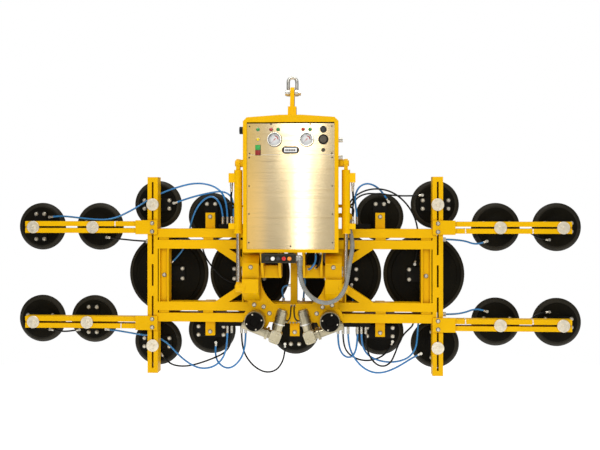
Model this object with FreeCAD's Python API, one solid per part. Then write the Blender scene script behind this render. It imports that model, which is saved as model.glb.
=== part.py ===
import FreeCAD, Part
import math
import os
from FreeCAD import Vector

# Vacuum lifter for glass panels: a bail with a cabinet hangs from a shackle, a yoke tilts under it
# on two cylinders, and a wide frame with 22 suction pads turns on the yoke.
# Millimetres, +Z up, the pads face +Y. The origin is the sling seat inside the shackle bow.

# Heights of the main axes
SEAT_TO_PIN = 80.0
PIN_TO_ROOF = 144.0
BAIL_HEIGHT = 766.0
BAIL_TO_TILT = 120.0
TILT_TO_TURN = 38.0

# Fits and working clearances
RUNNING_FIT = 0.06
SIDE_GAP = 0.5
OVERRUN = 5.0

# Shackle
BOW_WIRE_RADIUS = 9.5
BOW_HALF_SPAN = 25.0
SHACKLE_EYE_RADIUS = 20.0
SHACKLE_PIN_RADIUS = 10.5
SHACKLE_HEAD_RADIUS = 16.0
SHACKLE_HEAD_LENGTH = 8.0
SHACKLE_NUT_LENGTH = 13.0

# Lifting lug
LUG_THICKNESS = 23.0
LUG_EYE_RADIUS = 34.0
LUG_BASE_FRONT = 75.0
CHEEK_THICKNESS = 12.0
CHEEK_HEIGHT = 62.0
CHEEK_SLOPE = 20.0

# Bail
BAIL_HALF_WIDTH = 266.0
BAIL_FRONT = 190.0
BAIL_DEPTH = 200.0
BAIL_SKIN = 6.0
BAIL_SIDE_BORDER = 22.0
BAIL_TOP_BORDER = 28.0
BAIL_BOTTOM_BORDER = 18.0
ROOF_RISE = 13.0
ROOF_FLAT_HALF = 60.0
ROOF_CORNER = 22.0
HINGE_BLOCK_SIZE = 70.0
HINGE_BLOCK_INNER = 62.0
HINGE_GUSSET = 14.0
GUSSET_FRONT = 150.0
SIDE_PORT_RADIUS = 9.0
SIDE_PORT_LENGTH = 18.5
UPPER_PORT_INSET = 10.0
LOWER_PORT_INSET = 36.0
UPPER_PORT_DROP = 244.0
LOWER_PORT_DROP = 245.0
CONDUIT_ELBOW_X = 328.0
CONDUIT_ELBOW_INSET = 16.0
CONDUIT_ELBOW_RISE = 300.0
CONDUIT_ELBOW_HEIGHT = 24.0

# Cabinet and panels
SHELL_WALL = 2.5
SHELL_GAP = 0.5
SHELL_BACK = 60.0
PANEL_THICKNESS = 3.0
PANEL_RECESS = 9.0
PANEL_SEAM_DROP = 221.0
SEAM_GAP = 1.5

# Panel instruments
TOP_ROW_DROP = 81.0
MIDDLE_ROW_DROP = 137.0
LOW_ROW_DROP = 196.0
OUTER_COLUMN_INSET = 62.0
GAUGE_INSET = 93.0
LAMP_SPREAD = 19.5
GAUGE_RADIUS = 39.0
GAUGE_DEPTH = 24.0
GAUGE_RIM = 4.5
GAUGE_DIAL_DEPTH = 3.0
NEEDLE_LENGTH = 26.0
NEEDLE_TAIL = 9.0
NEEDLE_WIDTH = 3.0
NEEDLE_THICKNESS = 1.5
NEEDLE_GAP = 1.0
NEEDLE_HUB_RADIUS = 4.0
SPINDLE_RADIUS = 1.5
LAMP_RADIUS = 13.0
LAMP_COLLAR = 4.0
LAMP_HEIGHT = 12.0
METER_WIDTH = 96.0
METER_HEIGHT = 40.0
METER_DEPTH = 9.0
BUZZER_RADIUS = 28.0
BUZZER_DEPTH = 16.0
LOCK_RADIUS = 9.0
LOCK_DEPTH = 8.0
BUTTON_RADIUS = 11.0
BUTTON_COLLAR = 4.0
BUTTON_COLLAR_DEPTH = 5.0
BUTTON_PROUD = 8.0
BUTTON_TRAVEL = 4.0
BUTTON_FIT = 0.4
BUTTON_PITCH = 28.0
SWITCH_RADIUS = 21.0
SWITCH_DEPTH = 26.0
CONNECTOR_RADIUS = 13.0
CONNECTOR_DEPTH = 24.0
CONNECTOR_PITCH = 96.0

# Pendant
PENDANT_LEFT = 162.0
PENDANT_WIDTH = 193.0
PENDANT_HEIGHT = 52.0
PENDANT_DEPTH = 52.0
PENDANT_FRONT = 207.0
PENDANT_DROP = 6.0
PENDANT_ROUND = 9.0
PENDANT_BUTTON_LEFT = 34.0
PENDANT_BUTTON_PITCH = 30.8
CLIP_WIDTH = 30.0
GLAND_RADIUS = 17.0
GLAND_LENGTH = 22.0
GLAND_KNUCKLE = 1.5

# Tilt cylinders
CYLINDER_STANDOFF = 42.0
ROD_STANDOFF = 23.0
CYLINDER_FRONT = 60.0
TOP_PIN_RISE = 622.0
ROD_PIN_DROP = 88.0
BARREL_RADIUS = 24.0
BARREL_BORE = 18.0
BARREL_LENGTH = 363.0
BARREL_CAP = 25.0
TOP_EYE_DROP = 38.0
TOP_EYE_RADIUS = 25.0
TOP_EYE_WIDTH = 22.0
TOP_PIN_RADIUS = 12.0
TOP_STUB_RADIUS = 22.0
PIN_CAP_RADIUS = 17.0
PIN_CAP_LENGTH = 6.0
GLAND_NUT_RADIUS = 26.0
GLAND_NUT_LENGTH = 20.0
ROD_RADIUS = 12.5
PISTON_LENGTH = 30.0
PISTON_FIT = 0.1
ROD_EYE_RADIUS = 28.0
ROD_EYE_WIDTH = 24.0
ROD_PIN_RADIUS = 14.0
PORT_WIDTH = 36.0
PORT_DEPTH = 34.0
PORT_UPPER_HEIGHT = 54.0
PORT_LOWER_HEIGHT = 32.0
PORT_UPPER_DROP = 18.0
PORT_LOWER_RISE = 26.0
LINE_FITTING_RADIUS = 9.0
UPPER_FITTING_LENGTH = 52.0
LOWER_FITTING_LENGTH = 40.0

# Yoke
YOKE_PLATE_FRONT = 45.0
YOKE_PLATE_THICKNESS = 22.0
YOKE_HALF_WIDTH = 285.0
YOKE_ARM_TOP = 102.0
YOKE_KNEE_DROP = 60.0
YOKE_WAIST_HALF = 255.0
YOKE_WAIST_DROP = 200.0
YOKE_FOOT_HALF = 170.0
YOKE_FOOT_DROP = 262.0
YOKE_SILL_DROP = 156.0
YOKE_WING_RADIUS = 78.0
YOKE_CHEEK_INNER = 190.0
YOKE_INNER_CHEEK = 16.0
YOKE_OUTER_CHEEK = 18.0
CHEEK_ROUND = 62.0
NOSE_TOP_FRONT = 18.0
NOSE_TOP_RISE = 92.0
NOSE_KNEE_RISE = 50.0
WEB_BOLT_RISE = 28.0
EAR_OVERHANG = 18.0
EAR_DROP = 8.0
EAR_RADIUS = 195.0
CHEEK_TAIL_DROP = 175.0
WEB_THICKNESS = 10.0
BRACKET_FRONT = 85.0
BRACKET_TOP_DROP = 39.0
BRACKET_HEIGHT = 79.0
BRACKET_TOE = 57.0
BRACKET_WALL = 14.0
ROD_BOSS_RADIUS = 30.0
ROD_BOSS_LENGTH = 7.0
TILT_PIN_RADIUS = 22.0
TILT_PIN_INSET = 12.0
TILT_HEAD_RADIUS = 31.0
TILT_HEAD_LENGTH = 7.0

# Slewing ring and pinions
GEAR_MODULE = 6.0
RING_TEETH = 90
PINION_TEETH = 20
PRESSURE_ANGLE = 20.0
ADDENDUM_SHARE = 0.92
DEDENDUM_SHARE = 1.25
BACKLASH = 0.5
RING_HEIGHT = 50.0
RING_STEP = 5.0
RING_BORE = 200.0
RACE_RADIUS = 236.0
RACE_GAP = 0.35
PINION_INSET = 4.0
PINION_SHAFT_RADIUS = 20.0
PINION_SHAFT_LENGTH = 45.0

# Gearboxes and motors
GEARBOX_X = 217.0
GEARBOX_RADIUS = 58.0
GEARBOX_DEPTH = 92.0
GEARBOX_BOLT_CIRCLE = 87.0
COVER_RADIUS = 53.0
COVER_DEPTH = 14.0
COVER_DISH = 4.0
WORM_RADIUS = 28.0
WORM_REACH = 59.0
WORM_LENGTH = 142.0
WORM_DROP = 43.0
WORM_CAP_RADIUS = 21.0
WORM_CAP_LENGTH = 5.0
WORM_ANGLE = 21.0
FLANGE_RADIUS = 37.0
FLANGE_THICKNESS = 14.0
NECK_RADIUS = 26.0
NECK_LENGTH = 14.0
HEAD_WIDTH = 64.0
HEAD_HEIGHT = 74.0
HEAD_DEPTH = 66.0
HEAD_CORNER = 16.0
HEAD_BOLT_SHARE = 0.34
ADAPTER_RADIUS = 26.0
ADAPTER_LENGTH = 36.0
MOTOR_RING_RADIUS = 35.0
MOTOR_RING_LENGTH = 8.0
MOTOR_RADIUS = 32.0
MOTOR_LENGTH = 70.0
MOTOR_CAP_RADIUS = 27.0
MOTOR_CAP_LENGTH = 10.0
MOTOR_LEAN = 15.0
CABLE_GLAND_RADIUS = 7.0
CABLE_GLAND_REACH = 26.0
CABLE_RADIUS = 4.0
COVER_BOLTS = 4
COVER_BOLT_TURN = 76.0
COVER_BOLT_RADIUS = 44.0

# Pad frame
HUB_THICKNESS = 16.0
HUB_RADIUS = 284.0
RAIL_HEIGHT = 52.0
RAIL_DEPTH = 80.0
RAIL_WALL = 5.0
RAIL_INNER_Z = 185.0
RAIL_OUTER_Z = 252.0
BEAM_X = 850.0
BEAM_WIDTH = 62.0
BEAM_HALF_LENGTH = 588.0
BEAM_SLOT = 11.0
BEAM_BRIDGE = 60.0
UPRIGHT_X = 783.0
UPRIGHT_INNER_X = 280.0
UPRIGHT_WIDTH = 60.0
UPRIGHT_WALL = 8.0
UPRIGHT_RECESS = 20.0
POST_WIDTH = 40.0
POST_DEPTH = 40.0
BRACE_WIDTH = 46.0
BRACE_DEPTH = 50.0
BRACE_RAIL_X = 432.0
BRACE_HUB_X = 262.0
BRACE_HUB_Z = 46.0
PAD_POST_WIDTH = 57.0
PAD_POST_TOP = 373.0
SPACER_WIDTH = 60.0

# Arms
ARM_Z = 287.0
ARM_END_X = 1630.0
ARM_HEIGHT = 70.0
ARM_SLOT = 12.0
ARM_DEPTH = 60.0
ARM_TIP = 22.0
ROOT_PLATE_LENGTH = 133.0
ROOT_PLATE_HEIGHT = 84.0
ROOT_PLATE_THICKNESS = 12.0

# Pads
SMALL_PAD_RADIUS = 146.0
LARGE_PAD_RADIUS = 246.0
PAD_HEIGHT = 50.0
PAD_STANDOFF = 50.0
PAD_BOSS_RISE = 4.0
PAD_END_X = 1580.0
PAD_MIDDLE_X = 1215.0
PAD_MIDDLE_SHIFT = 35.0
BEAM_PAD_Z = 423.0
RAIL_PAD_X = 515.0
RAIL_PAD_Z = 349.0
PAD_PROFILE_SHARES = [(0.0, -0.08), (0.42, -0.08), (0.42, 0.0), (0.80, 0.0), (0.82, 0.14),
                      (0.88, 0.16), (1.0, 0.50), (1.0, 0.64), (0.93, 1.0), (0.90, 1.0),
                      (0.86, 0.62), (0.0, 0.62)]
BRIDGE_THICKNESS = 12.0
BRIDGE_MARGIN = 15.0
SMALL_BOLT_LONG = 77.0
SMALL_BOLT_SHORT = 25.0
LARGE_BOLT_LONG = 92.0
LARGE_BOLT_SHORT = 30.0
STEM_RADIUS = 27.0
CLAMP_RADIUS = 37.0
CLAMP_THICKNESS = 8.0
STUD_RADIUS = 5.0
BOLT_RADIUS = 10.0
BOLT_HEIGHT = 8.0
WASHER_RADIUS = 13.0
WASHER_HEIGHT = 2.5

# Vacuum lines
MANIFOLD_HEIGHT = 28.0
MANIFOLD_DEPTH = 36.0
MANIFOLD_OUTER_X = 455.0
MANIFOLD_UPPER_INNER_X = 300.0
MANIFOLD_LOWER_INNER_X = 250.0
PORT_RADIUS = 8.0
PORT_LENGTH = 44.0
ELBOW_RADIUS = 8.5
ELBOW_LENGTH = 22.0
NIPPLE_RADIUS = 7.0
TEE_SIZE = 24.0
BLUE_HOSE_RADIUS = 5.5
BLACK_HOSE_RADIUS = 5.0
LINE_HOSE_RADIUS = 6.0
CONDUIT_RADIUS = 13.0
CONDUIT_VALLEY_RADIUS = 11.5
CONDUIT_BORE_RADIUS = 9.5
CONDUIT_CUFF = 27.0
CONDUIT_RIBS = 120
RIB_PLACE_SHARES = [0.15, 0.35, 0.65, 0.85]
BEND_SHARE = 0.45

# Places worked out from the sizes above
pin_z = -SEAT_TO_PIN
roof_z = pin_z - PIN_TO_ROOF
bail_bottom_z = roof_z - BAIL_HEIGHT
tilt_z = bail_bottom_z - BAIL_TO_TILT
turn_z = tilt_z - TILT_TO_TURN
bail_front_y = -BAIL_FRONT
bail_back_y = bail_front_y + BAIL_DEPTH
panel_front_y = bail_front_y + PANEL_RECESS
shell_front_y = panel_front_y + PANEL_THICKNESS
yoke_back_y = YOKE_PLATE_FRONT + YOKE_PLATE_THICKNESS
hub_front_y = yoke_back_y + RING_HEIGHT
frame_front_y = hub_front_y + HUB_THICKNESS
frame_back_y = frame_front_y + RAIL_DEPTH
pad_back_y = frame_back_y + PAD_STANDOFF
boss_y = pad_back_y - PAD_BOSS_RISE
bridge_front_y = boss_y - BRIDGE_THICKNESS
arm_back_y = frame_front_y + ARM_DEPTH
cylinder_x = max(BAIL_HALF_WIDTH + CYLINDER_STANDOFF, YOKE_HALF_WIDTH + ROD_STANDOFF)
cylinder_y = -CYLINDER_FRONT
top_pin_z = tilt_z + TOP_PIN_RISE
rod_pin_z = tilt_z - ROD_PIN_DROP
X_AXIS = Vector(1, 0, 0)
Y_AXIS = Vector(0, 1, 0)
Z_AXIS = Vector(0, 0, 1)


def block(x_range, y_range, z_range):
    low = Vector(min(x_range), min(y_range), min(z_range))
    high = Vector(max(x_range), max(y_range), max(z_range))
    size = high - low
    return Part.makeBox(size.x, size.y, size.z, low)


def rod(start, end, radius):
    span = end - start
    return Part.makeCylinder(radius, span.Length, start, span)


def face_of(points):
    return Part.Face(Part.makePolygon(points + [points[0]]))


def plate_xz(points, y_range):
    outline = [Vector(x, y_range[0], z) for x, z in points]
    return face_of(outline).extrude(Vector(0, y_range[1] - y_range[0], 0))


def plate_yz(points, x_range):
    outline = [Vector(x_range[0], y, z) for y, z in points]
    return face_of(outline).extrude(Vector(x_range[1] - x_range[0], 0, 0))


def turned_y(profile, x, z):
    """A revolved piece: profile points are (radius, y), turned about a line along Y."""
    outline = [Vector(x + radius, y, z) for radius, y in profile]
    return face_of(outline).revolve(Vector(x, 0, z), Y_AXIS, 360)


def weld(pieces):
    joined = pieces[0].multiFuse(pieces[1:])
    return joined.removeSplitter()


def mirrored(shape):
    return shape.mirror(Vector(0, 0, 0), X_AXIS)


def both_sides(shape):
    return [shape, mirrored(shape)]


def solids_of(shapes):
    found = []
    for shape in shapes:
        found.extend(shape.Solids)
    return found


os.makedirs("parts", exist_ok=True)


def write(name, *shapes):
    """Writes one node; its solids stay separate."""
    solids = solids_of(shapes)
    for solid in solids:
        if not solid.isValid() or solid.Volume <= 0:
            print("check", name, solid.isValid(), solid.Volume)
    node = solids[0] if len(solids) == 1 else Part.makeCompound(solids)
    node.exportStep("parts/" + name + ".step")


def hex_bolt(x, y, z, radius, height):
    """A hexagon head that sits on a face at y and stands towards -Y."""
    corners = []
    for step in range(6):
        angle = math.radians(60 * step)
        corners.append((x + radius * math.cos(angle), z + radius * math.sin(angle)))
    return plate_xz(corners, (y, y - height))


def bolt_with_washer(x, y, z):
    washer = rod(Vector(x, y, z), Vector(x, y - WASHER_HEIGHT, z), WASHER_RADIUS)
    head = hex_bolt(x, y - WASHER_HEIGHT, z, BOLT_RADIUS, BOLT_HEIGHT)
    return weld([washer, head])


def hose_path(name, points):
    """Straight runs joined by tangent arcs, each as large as its runs allow, as a list of edges."""
    corners = [Vector(*point) for point in points]
    edges = []
    start = corners[0]
    radii = []
    for index in range(1, len(corners) - 1):
        before = corners[index - 1] - corners[index]
        after = corners[index + 1] - corners[index]
        reach = BEND_SHARE * min(before.Length, after.Length)
        turn = math.pi - before.getAngle(after)
        bend = reach / math.tan(turn / 2)
        radii.append(bend)
        arc_start = corners[index] + before * (reach / before.Length)
        arc_end = corners[index] + after * (reach / after.Length)
        inward = before * (1 / before.Length) + after * (1 / after.Length)
        inward.normalize()
        depth = bend / math.cos(turn / 2) - bend
        middle = corners[index] + inward * depth
        edges.append(Part.LineSegment(start, arc_start).toShape())
        edges.append(Part.Arc(arc_start, middle, arc_end).toShape())
        start = arc_end
    edges.append(Part.LineSegment(start, corners[-1]).toShape())
    print(name, "length", round(sum(edge.Length for edge in edges)), "least radius", round(min(radii)))
    return edges


def tube_on(name, edges, radius):
    path = Part.Wire(edges)
    first = edges[0].valueAt(edges[0].FirstParameter)
    heading = edges[0].tangentAt(edges[0].FirstParameter)
    section = Part.Wire(Part.makeCircle(radius, first, heading))
    solid = path.makePipeShell([section], True, False)
    ideal = math.pi * radius * radius * path.Length
    print(name, "volume share", round(solid.Volume / ideal, 4))
    return solid


def hose(name, points, radius):
    return tube_on(name, hose_path(name, points), radius)


def place_on(edges, distance):
    """The point and the heading of a path at a distance from its start."""
    for edge in edges:
        if distance <= edge.Length:
            break
        distance = distance - edge.Length
    parameter = edge.getParameterByLength(min(distance, edge.Length))
    return edge.valueAt(parameter), edge.tangentAt(parameter)


def ribbed_hose(name, points, ribs):
    """A corrugated conduit: a bore, plain cuffs, and ribs that are lofted through circles along the path."""
    edges = hose_path(name, points)
    length = sum(edge.Length for edge in edges)
    pitch = (length - 2 * CONDUIT_CUFF) / ribs
    rib_radii = [CONDUIT_VALLEY_RADIUS, CONDUIT_RADIUS, CONDUIT_RADIUS, CONDUIT_VALLEY_RADIUS]
    stations = [(0, CONDUIT_VALLEY_RADIUS)]
    for rib in range(ribs):
        for share, radius in zip(RIB_PLACE_SHARES, rib_radii):
            stations.append((CONDUIT_CUFF + (rib + share) * pitch, radius))
    stations.append((length, CONDUIT_VALLEY_RADIUS))
    side = Y_AXIS
    rings = []
    for distance, radius in stations:
        centre, heading = place_on(edges, distance)
        side = side - heading * side.dot(heading)
        side.normalize()
        ring = Part.makeCircle(radius)
        ring.Placement = FreeCAD.Placement(centre, FreeCAD.Rotation(side, heading.cross(side), heading,
                                                                    "ZXY"))
        rings.append(Part.Wire(ring))
    return Part.makeLoft(rings, True, True).cut(tube_on(name + " bore", edges, CONDUIT_BORE_RADIUS))


# Shackle
bow_x = BOW_HALF_SPAN
bow_centre_z = BOW_WIRE_RADIUS - BOW_HALF_SPAN
bow_top = Vector(0, 0, bow_centre_z + BOW_HALF_SPAN)
bow_path = Part.Wire([
    Part.LineSegment(Vector(-bow_x, 0, pin_z), Vector(-bow_x, 0, bow_centre_z)).toShape(),
    Part.Arc(Vector(-bow_x, 0, bow_centre_z), bow_top, Vector(bow_x, 0, bow_centre_z)).toShape(),
    Part.LineSegment(Vector(bow_x, 0, bow_centre_z), Vector(bow_x, 0, pin_z)).toShape()])
bow_section = Part.Wire(Part.makeCircle(BOW_WIRE_RADIUS, Vector(-bow_x, 0, pin_z), Z_AXIS))
bow_body = bow_path.makePipeShell([bow_section], True, False)
eye_inner = bow_x - BOW_WIRE_RADIUS
eye_outer = bow_x + BOW_WIRE_RADIUS
bow_eyes = both_sides(rod(Vector(eye_inner, 0, pin_z), Vector(eye_outer, 0, pin_z), SHACKLE_EYE_RADIUS))
bow_bore = rod(Vector(-eye_outer - OVERRUN, 0, pin_z), Vector(eye_outer + OVERRUN, 0, pin_z),
               SHACKLE_PIN_RADIUS + RUNNING_FIT)
write("shackle_bow", weld([bow_body] + bow_eyes).cut(bow_bore))
pin_shank = rod(Vector(-eye_outer, 0, pin_z), Vector(eye_outer, 0, pin_z), SHACKLE_PIN_RADIUS)
pin_head = rod(Vector(-eye_outer - SHACKLE_HEAD_LENGTH, 0, pin_z), Vector(-eye_outer, 0, pin_z),
               SHACKLE_HEAD_RADIUS)
nut_points = []
for step in range(6):
    angle = math.radians(60 * step)
    nut_points.append((SHACKLE_HEAD_RADIUS * math.cos(angle),
                       pin_z + SHACKLE_HEAD_RADIUS * math.sin(angle)))
pin_nut = plate_yz(nut_points, (eye_outer, eye_outer + SHACKLE_NUT_LENGTH))
write("shackle_pin", weld([pin_shank, pin_head, pin_nut]))

# Lifting lug: a blade with the eye, between two low cheeks, on the roof of the bail
lug_half = LUG_THICKNESS / 2
blade = plate_yz([(-LUG_BASE_FRONT, roof_z), (bail_back_y, roof_z), (LUG_EYE_RADIUS, pin_z),
                  (-LUG_EYE_RADIUS, pin_z)], (-lug_half, lug_half))
blade_eye = rod(Vector(-lug_half, 0, pin_z), Vector(lug_half, 0, pin_z), LUG_EYE_RADIUS)
cheek_top = roof_z + CHEEK_HEIGHT
cheek = plate_yz([(-LUG_BASE_FRONT, roof_z), (bail_back_y, roof_z),
                  (bail_back_y - CHEEK_SLOPE / 4, cheek_top),
                  (-LUG_BASE_FRONT + CHEEK_SLOPE, cheek_top)], (lug_half, lug_half + CHEEK_THICKNESS))
lug_bore = rod(Vector(-lug_half - OVERRUN, 0, pin_z), Vector(lug_half + OVERRUN, 0, pin_z),
               SHACKLE_PIN_RADIUS + RUNNING_FIT)
write("lifting_lug", weld([blade, blade_eye] + both_sides(cheek)).cut(lug_bore))

# Bail: a ring of inward channel with a slightly peaked roof, hinge blocks and cylinder pins
shoulder_z = roof_z - ROOF_RISE


def bail_outline(inset):
    half = BAIL_HALF_WIDTH - inset
    side_top = shoulder_z - ROOF_CORNER
    corner_half = BAIL_HALF_WIDTH - ROOF_CORNER
    right = [(half, bail_bottom_z + inset), (half, side_top), (corner_half, shoulder_z - inset),
             (ROOF_FLAT_HALF, roof_z - inset)]
    left = [(-x, z) for x, z in reversed(right)]
    return right + left


opening_half = BAIL_HALF_WIDTH - BAIL_SIDE_BORDER
opening_top_z = shoulder_z - BAIL_TOP_BORDER
opening_bottom_z = bail_bottom_z + BAIL_BOTTOM_BORDER
bail_ring = plate_xz(bail_outline(0), (bail_front_y, bail_back_y))
bail_opening = block((-opening_half, opening_half), (bail_front_y - OVERRUN, bail_back_y + OVERRUN),
                     (opening_bottom_z, opening_top_z))
bail_pocket = plate_xz(bail_outline(BAIL_SKIN), (bail_front_y + BAIL_SKIN, bail_back_y - BAIL_SKIN))
lug_pad = block((-ROOF_FLAT_HALF, ROOF_FLAT_HALF), (-LUG_BASE_FRONT, bail_back_y), (roof_z, opening_top_z))
seat_rail = block((-opening_half, opening_half), (bail_front_y, bail_front_y + GUSSET_FRONT),
                  (bail_bottom_z, opening_bottom_z))
bail_ring = bail_ring.cut(bail_opening).cut(bail_pocket)
hinge_half = HINGE_BLOCK_SIZE / 2
hinge_outer = YOKE_CHEEK_INNER - SIDE_GAP
hinge_block = block((HINGE_BLOCK_INNER, hinge_outer), (-hinge_half, hinge_half),
                    (tilt_z - hinge_half, tilt_z + hinge_half))
gusset_profile = [(-GUSSET_FRONT, bail_bottom_z), (bail_back_y, bail_bottom_z),
                  (hinge_half, tilt_z + hinge_half),
                  (hinge_half, tilt_z - hinge_half), (-hinge_half, tilt_z - hinge_half)]
gusset_inner = HINGE_BLOCK_INNER
gusset_outer = hinge_outer - HINGE_GUSSET
gussets = [plate_yz(gusset_profile, (gusset_inner, gusset_inner + HINGE_GUSSET)),
           plate_yz(gusset_profile, (gusset_outer - HINGE_GUSSET, gusset_outer))]
tilt_bore = rod(Vector(HINGE_BLOCK_INNER - OVERRUN, 0, tilt_z), Vector(hinge_outer + OVERRUN, 0, tilt_z),
                TILT_PIN_RADIUS + RUNNING_FIT)
eye_inner_x = cylinder_x - TOP_EYE_WIDTH / 2
eye_outer_x = cylinder_x + TOP_EYE_WIDTH / 2
stub_end_x = eye_inner_x - SIDE_GAP
cap_start_x = eye_outer_x + SIDE_GAP
top_stub = rod(Vector(BAIL_HALF_WIDTH, cylinder_y, top_pin_z), Vector(stub_end_x, cylinder_y, top_pin_z),
               TOP_STUB_RADIUS)
top_pin = rod(Vector(BAIL_HALF_WIDTH, cylinder_y, top_pin_z),
              Vector(cap_start_x + PIN_CAP_LENGTH, cylinder_y, top_pin_z), TOP_PIN_RADIUS)
top_cap = rod(Vector(cap_start_x, cylinder_y, top_pin_z),
              Vector(cap_start_x + PIN_CAP_LENGTH, cylinder_y, top_pin_z), PIN_CAP_RADIUS)
half_bail = [hinge_block] + gussets + [top_stub, top_pin, top_cap]
for drop, inset in ((UPPER_PORT_DROP, UPPER_PORT_INSET), (LOWER_PORT_DROP, LOWER_PORT_INSET)):
    port_start = Vector(BAIL_HALF_WIDTH, bail_back_y - inset, top_pin_z - drop)
    half_bail.append(rod(port_start, port_start + X_AXIS * SIDE_PORT_LENGTH, SIDE_PORT_RADIUS))
bail_pieces = [bail_ring, lug_pad, seat_rail]
for piece in half_bail:
    bail_pieces.extend(both_sides(piece))
elbow_y = bail_back_y - CONDUIT_ELBOW_INSET
elbow_low_z = tilt_z + CONDUIT_ELBOW_RISE
elbow_z = elbow_low_z + CONDUIT_ELBOW_HEIGHT
elbow_radius = CONDUIT_RADIUS
bail_pieces.append(rod(Vector(BAIL_HALF_WIDTH, elbow_y, elbow_z),
                       Vector(CONDUIT_ELBOW_X, elbow_y, elbow_z), elbow_radius))
bail_pieces.append(Part.makeSphere(elbow_radius + GLAND_KNUCKLE, Vector(CONDUIT_ELBOW_X, elbow_y, elbow_z)))
bail_pieces.append(rod(Vector(CONDUIT_ELBOW_X, elbow_y, elbow_low_z),
                       Vector(CONDUIT_ELBOW_X, elbow_y, elbow_z), elbow_radius))
bail_frame = weld(bail_pieces).cut(tilt_bore).cut(mirrored(tilt_bore))
write("bail_frame", bail_frame)

# Cabinet shell, open at the front, and the two panels that close it
shell_half = opening_half - SHELL_GAP
shell_top_z = opening_top_z - SHELL_GAP
shell_outer = block((-shell_half, shell_half), (shell_front_y, SHELL_BACK), (opening_bottom_z, shell_top_z))
shell_inner = block((-shell_half + SHELL_WALL, shell_half - SHELL_WALL),
                    (shell_front_y - OVERRUN, SHELL_BACK - SHELL_WALL),
                    (opening_bottom_z + SHELL_WALL, shell_top_z - SHELL_WALL))
write("cabinet_shell", shell_outer.cut(shell_inner))
seam_z = roof_z - PANEL_SEAM_DROP
panel = block((-shell_half, shell_half), (panel_front_y, shell_front_y), (seam_z, shell_top_z))
write("access_panel", block((-shell_half, shell_half), (panel_front_y, shell_front_y),
                            (opening_bottom_z, seam_z - SEAM_GAP)))

# Instruments on the control panel
outer_column = opening_half - OUTER_COLUMN_INSET
gauge_column = outer_column - GAUGE_INSET
top_row_z = roof_z - TOP_ROW_DROP
middle_row_z = roof_z - MIDDLE_ROW_DROP
low_row_z = roof_z - LOW_ROW_DROP
dial_y = panel_front_y - GAUGE_DIAL_DEPTH
needle_back_y = dial_y - NEEDLE_GAP
needle_front_y = needle_back_y - NEEDLE_THICKNESS


def gauge(x):
    """A round case with a recessed dial face and a fixed spindle for the needle."""
    front = panel_front_y - GAUGE_DEPTH
    inside = GAUGE_RADIUS - GAUGE_RIM
    profile = [(0, panel_front_y), (GAUGE_RADIUS, panel_front_y), (GAUGE_RADIUS, front),
               (inside, front), (inside, dial_y), (SPINDLE_RADIUS, dial_y),
               (SPINDLE_RADIUS, needle_front_y), (0, needle_front_y)]
    return turned_y(profile, x, middle_row_z)


def needle(x):
    """A needle with a hub and a short tail, pointing at zero on the lower left."""
    blade = plate_xz([(x - NEEDLE_WIDTH / 2, middle_row_z - NEEDLE_TAIL), (x + NEEDLE_WIDTH / 2,
                     middle_row_z - NEEDLE_TAIL), (x, middle_row_z + NEEDLE_LENGTH)],
                     (needle_back_y, needle_front_y))
    hub = rod(Vector(x, needle_back_y, middle_row_z), Vector(x, needle_front_y, middle_row_z),
              NEEDLE_HUB_RADIUS)
    bore = rod(Vector(x, needle_back_y + OVERRUN, middle_row_z),
               Vector(x, needle_front_y - OVERRUN, middle_row_z),
               SPINDLE_RADIUS + RUNNING_FIT)
    pointed = weld([blade, hub]).cut(bore)
    return pointed.rotate(Vector(x, 0, middle_row_z), Y_AXIS, -135)


write("vacuum_gauges", gauge(-gauge_column), gauge(gauge_column))
write("gauge_needle_left", needle(-gauge_column))
write("gauge_needle_right", needle(gauge_column))


def lamp(x, z):
    collar_y = panel_front_y - LAMP_COLLAR
    lens_radius = LAMP_RADIUS - LAMP_COLLAR / 2
    front = panel_front_y - LAMP_HEIGHT
    profile = [(0, panel_front_y), (LAMP_RADIUS, panel_front_y), (LAMP_RADIUS, collar_y),
               (lens_radius, collar_y), (lens_radius, (collar_y + front) / 2), (lens_radius / 2, front),
               (0, front)]
    return turned_y(profile, x, z)


lamp_places = [(-outer_column, top_row_z), (-outer_column, middle_row_z)]
for side in (-1, 1):
    for spread in (-LAMP_SPREAD, LAMP_SPREAD):
        lamp_places.append((side * gauge_column + spread, top_row_z))
write("indicator_lamps", *[lamp(x, z) for x, z in lamp_places])


def button_at(x, y, z):
    """A push button whose back end runs in a bore behind the face at y."""
    return rod(Vector(x, y + BUTTON_PROUD, z), Vector(x, y - BUTTON_PROUD, z), BUTTON_RADIUS)


def button_bore(x, y, z):
    depth = BUTTON_PROUD + BUTTON_TRAVEL + OVERRUN
    return rod(Vector(x, y - OVERRUN - BUTTON_COLLAR_DEPTH, z), Vector(x, y + depth, z),
               BUTTON_RADIUS + BUTTON_FIT)


def button_collar(x, y, z):
    ring = rod(Vector(x, y, z), Vector(x, y - BUTTON_COLLAR_DEPTH, z), BUTTON_RADIUS + BUTTON_COLLAR)
    return ring.cut(button_bore(x, y, z))


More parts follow.
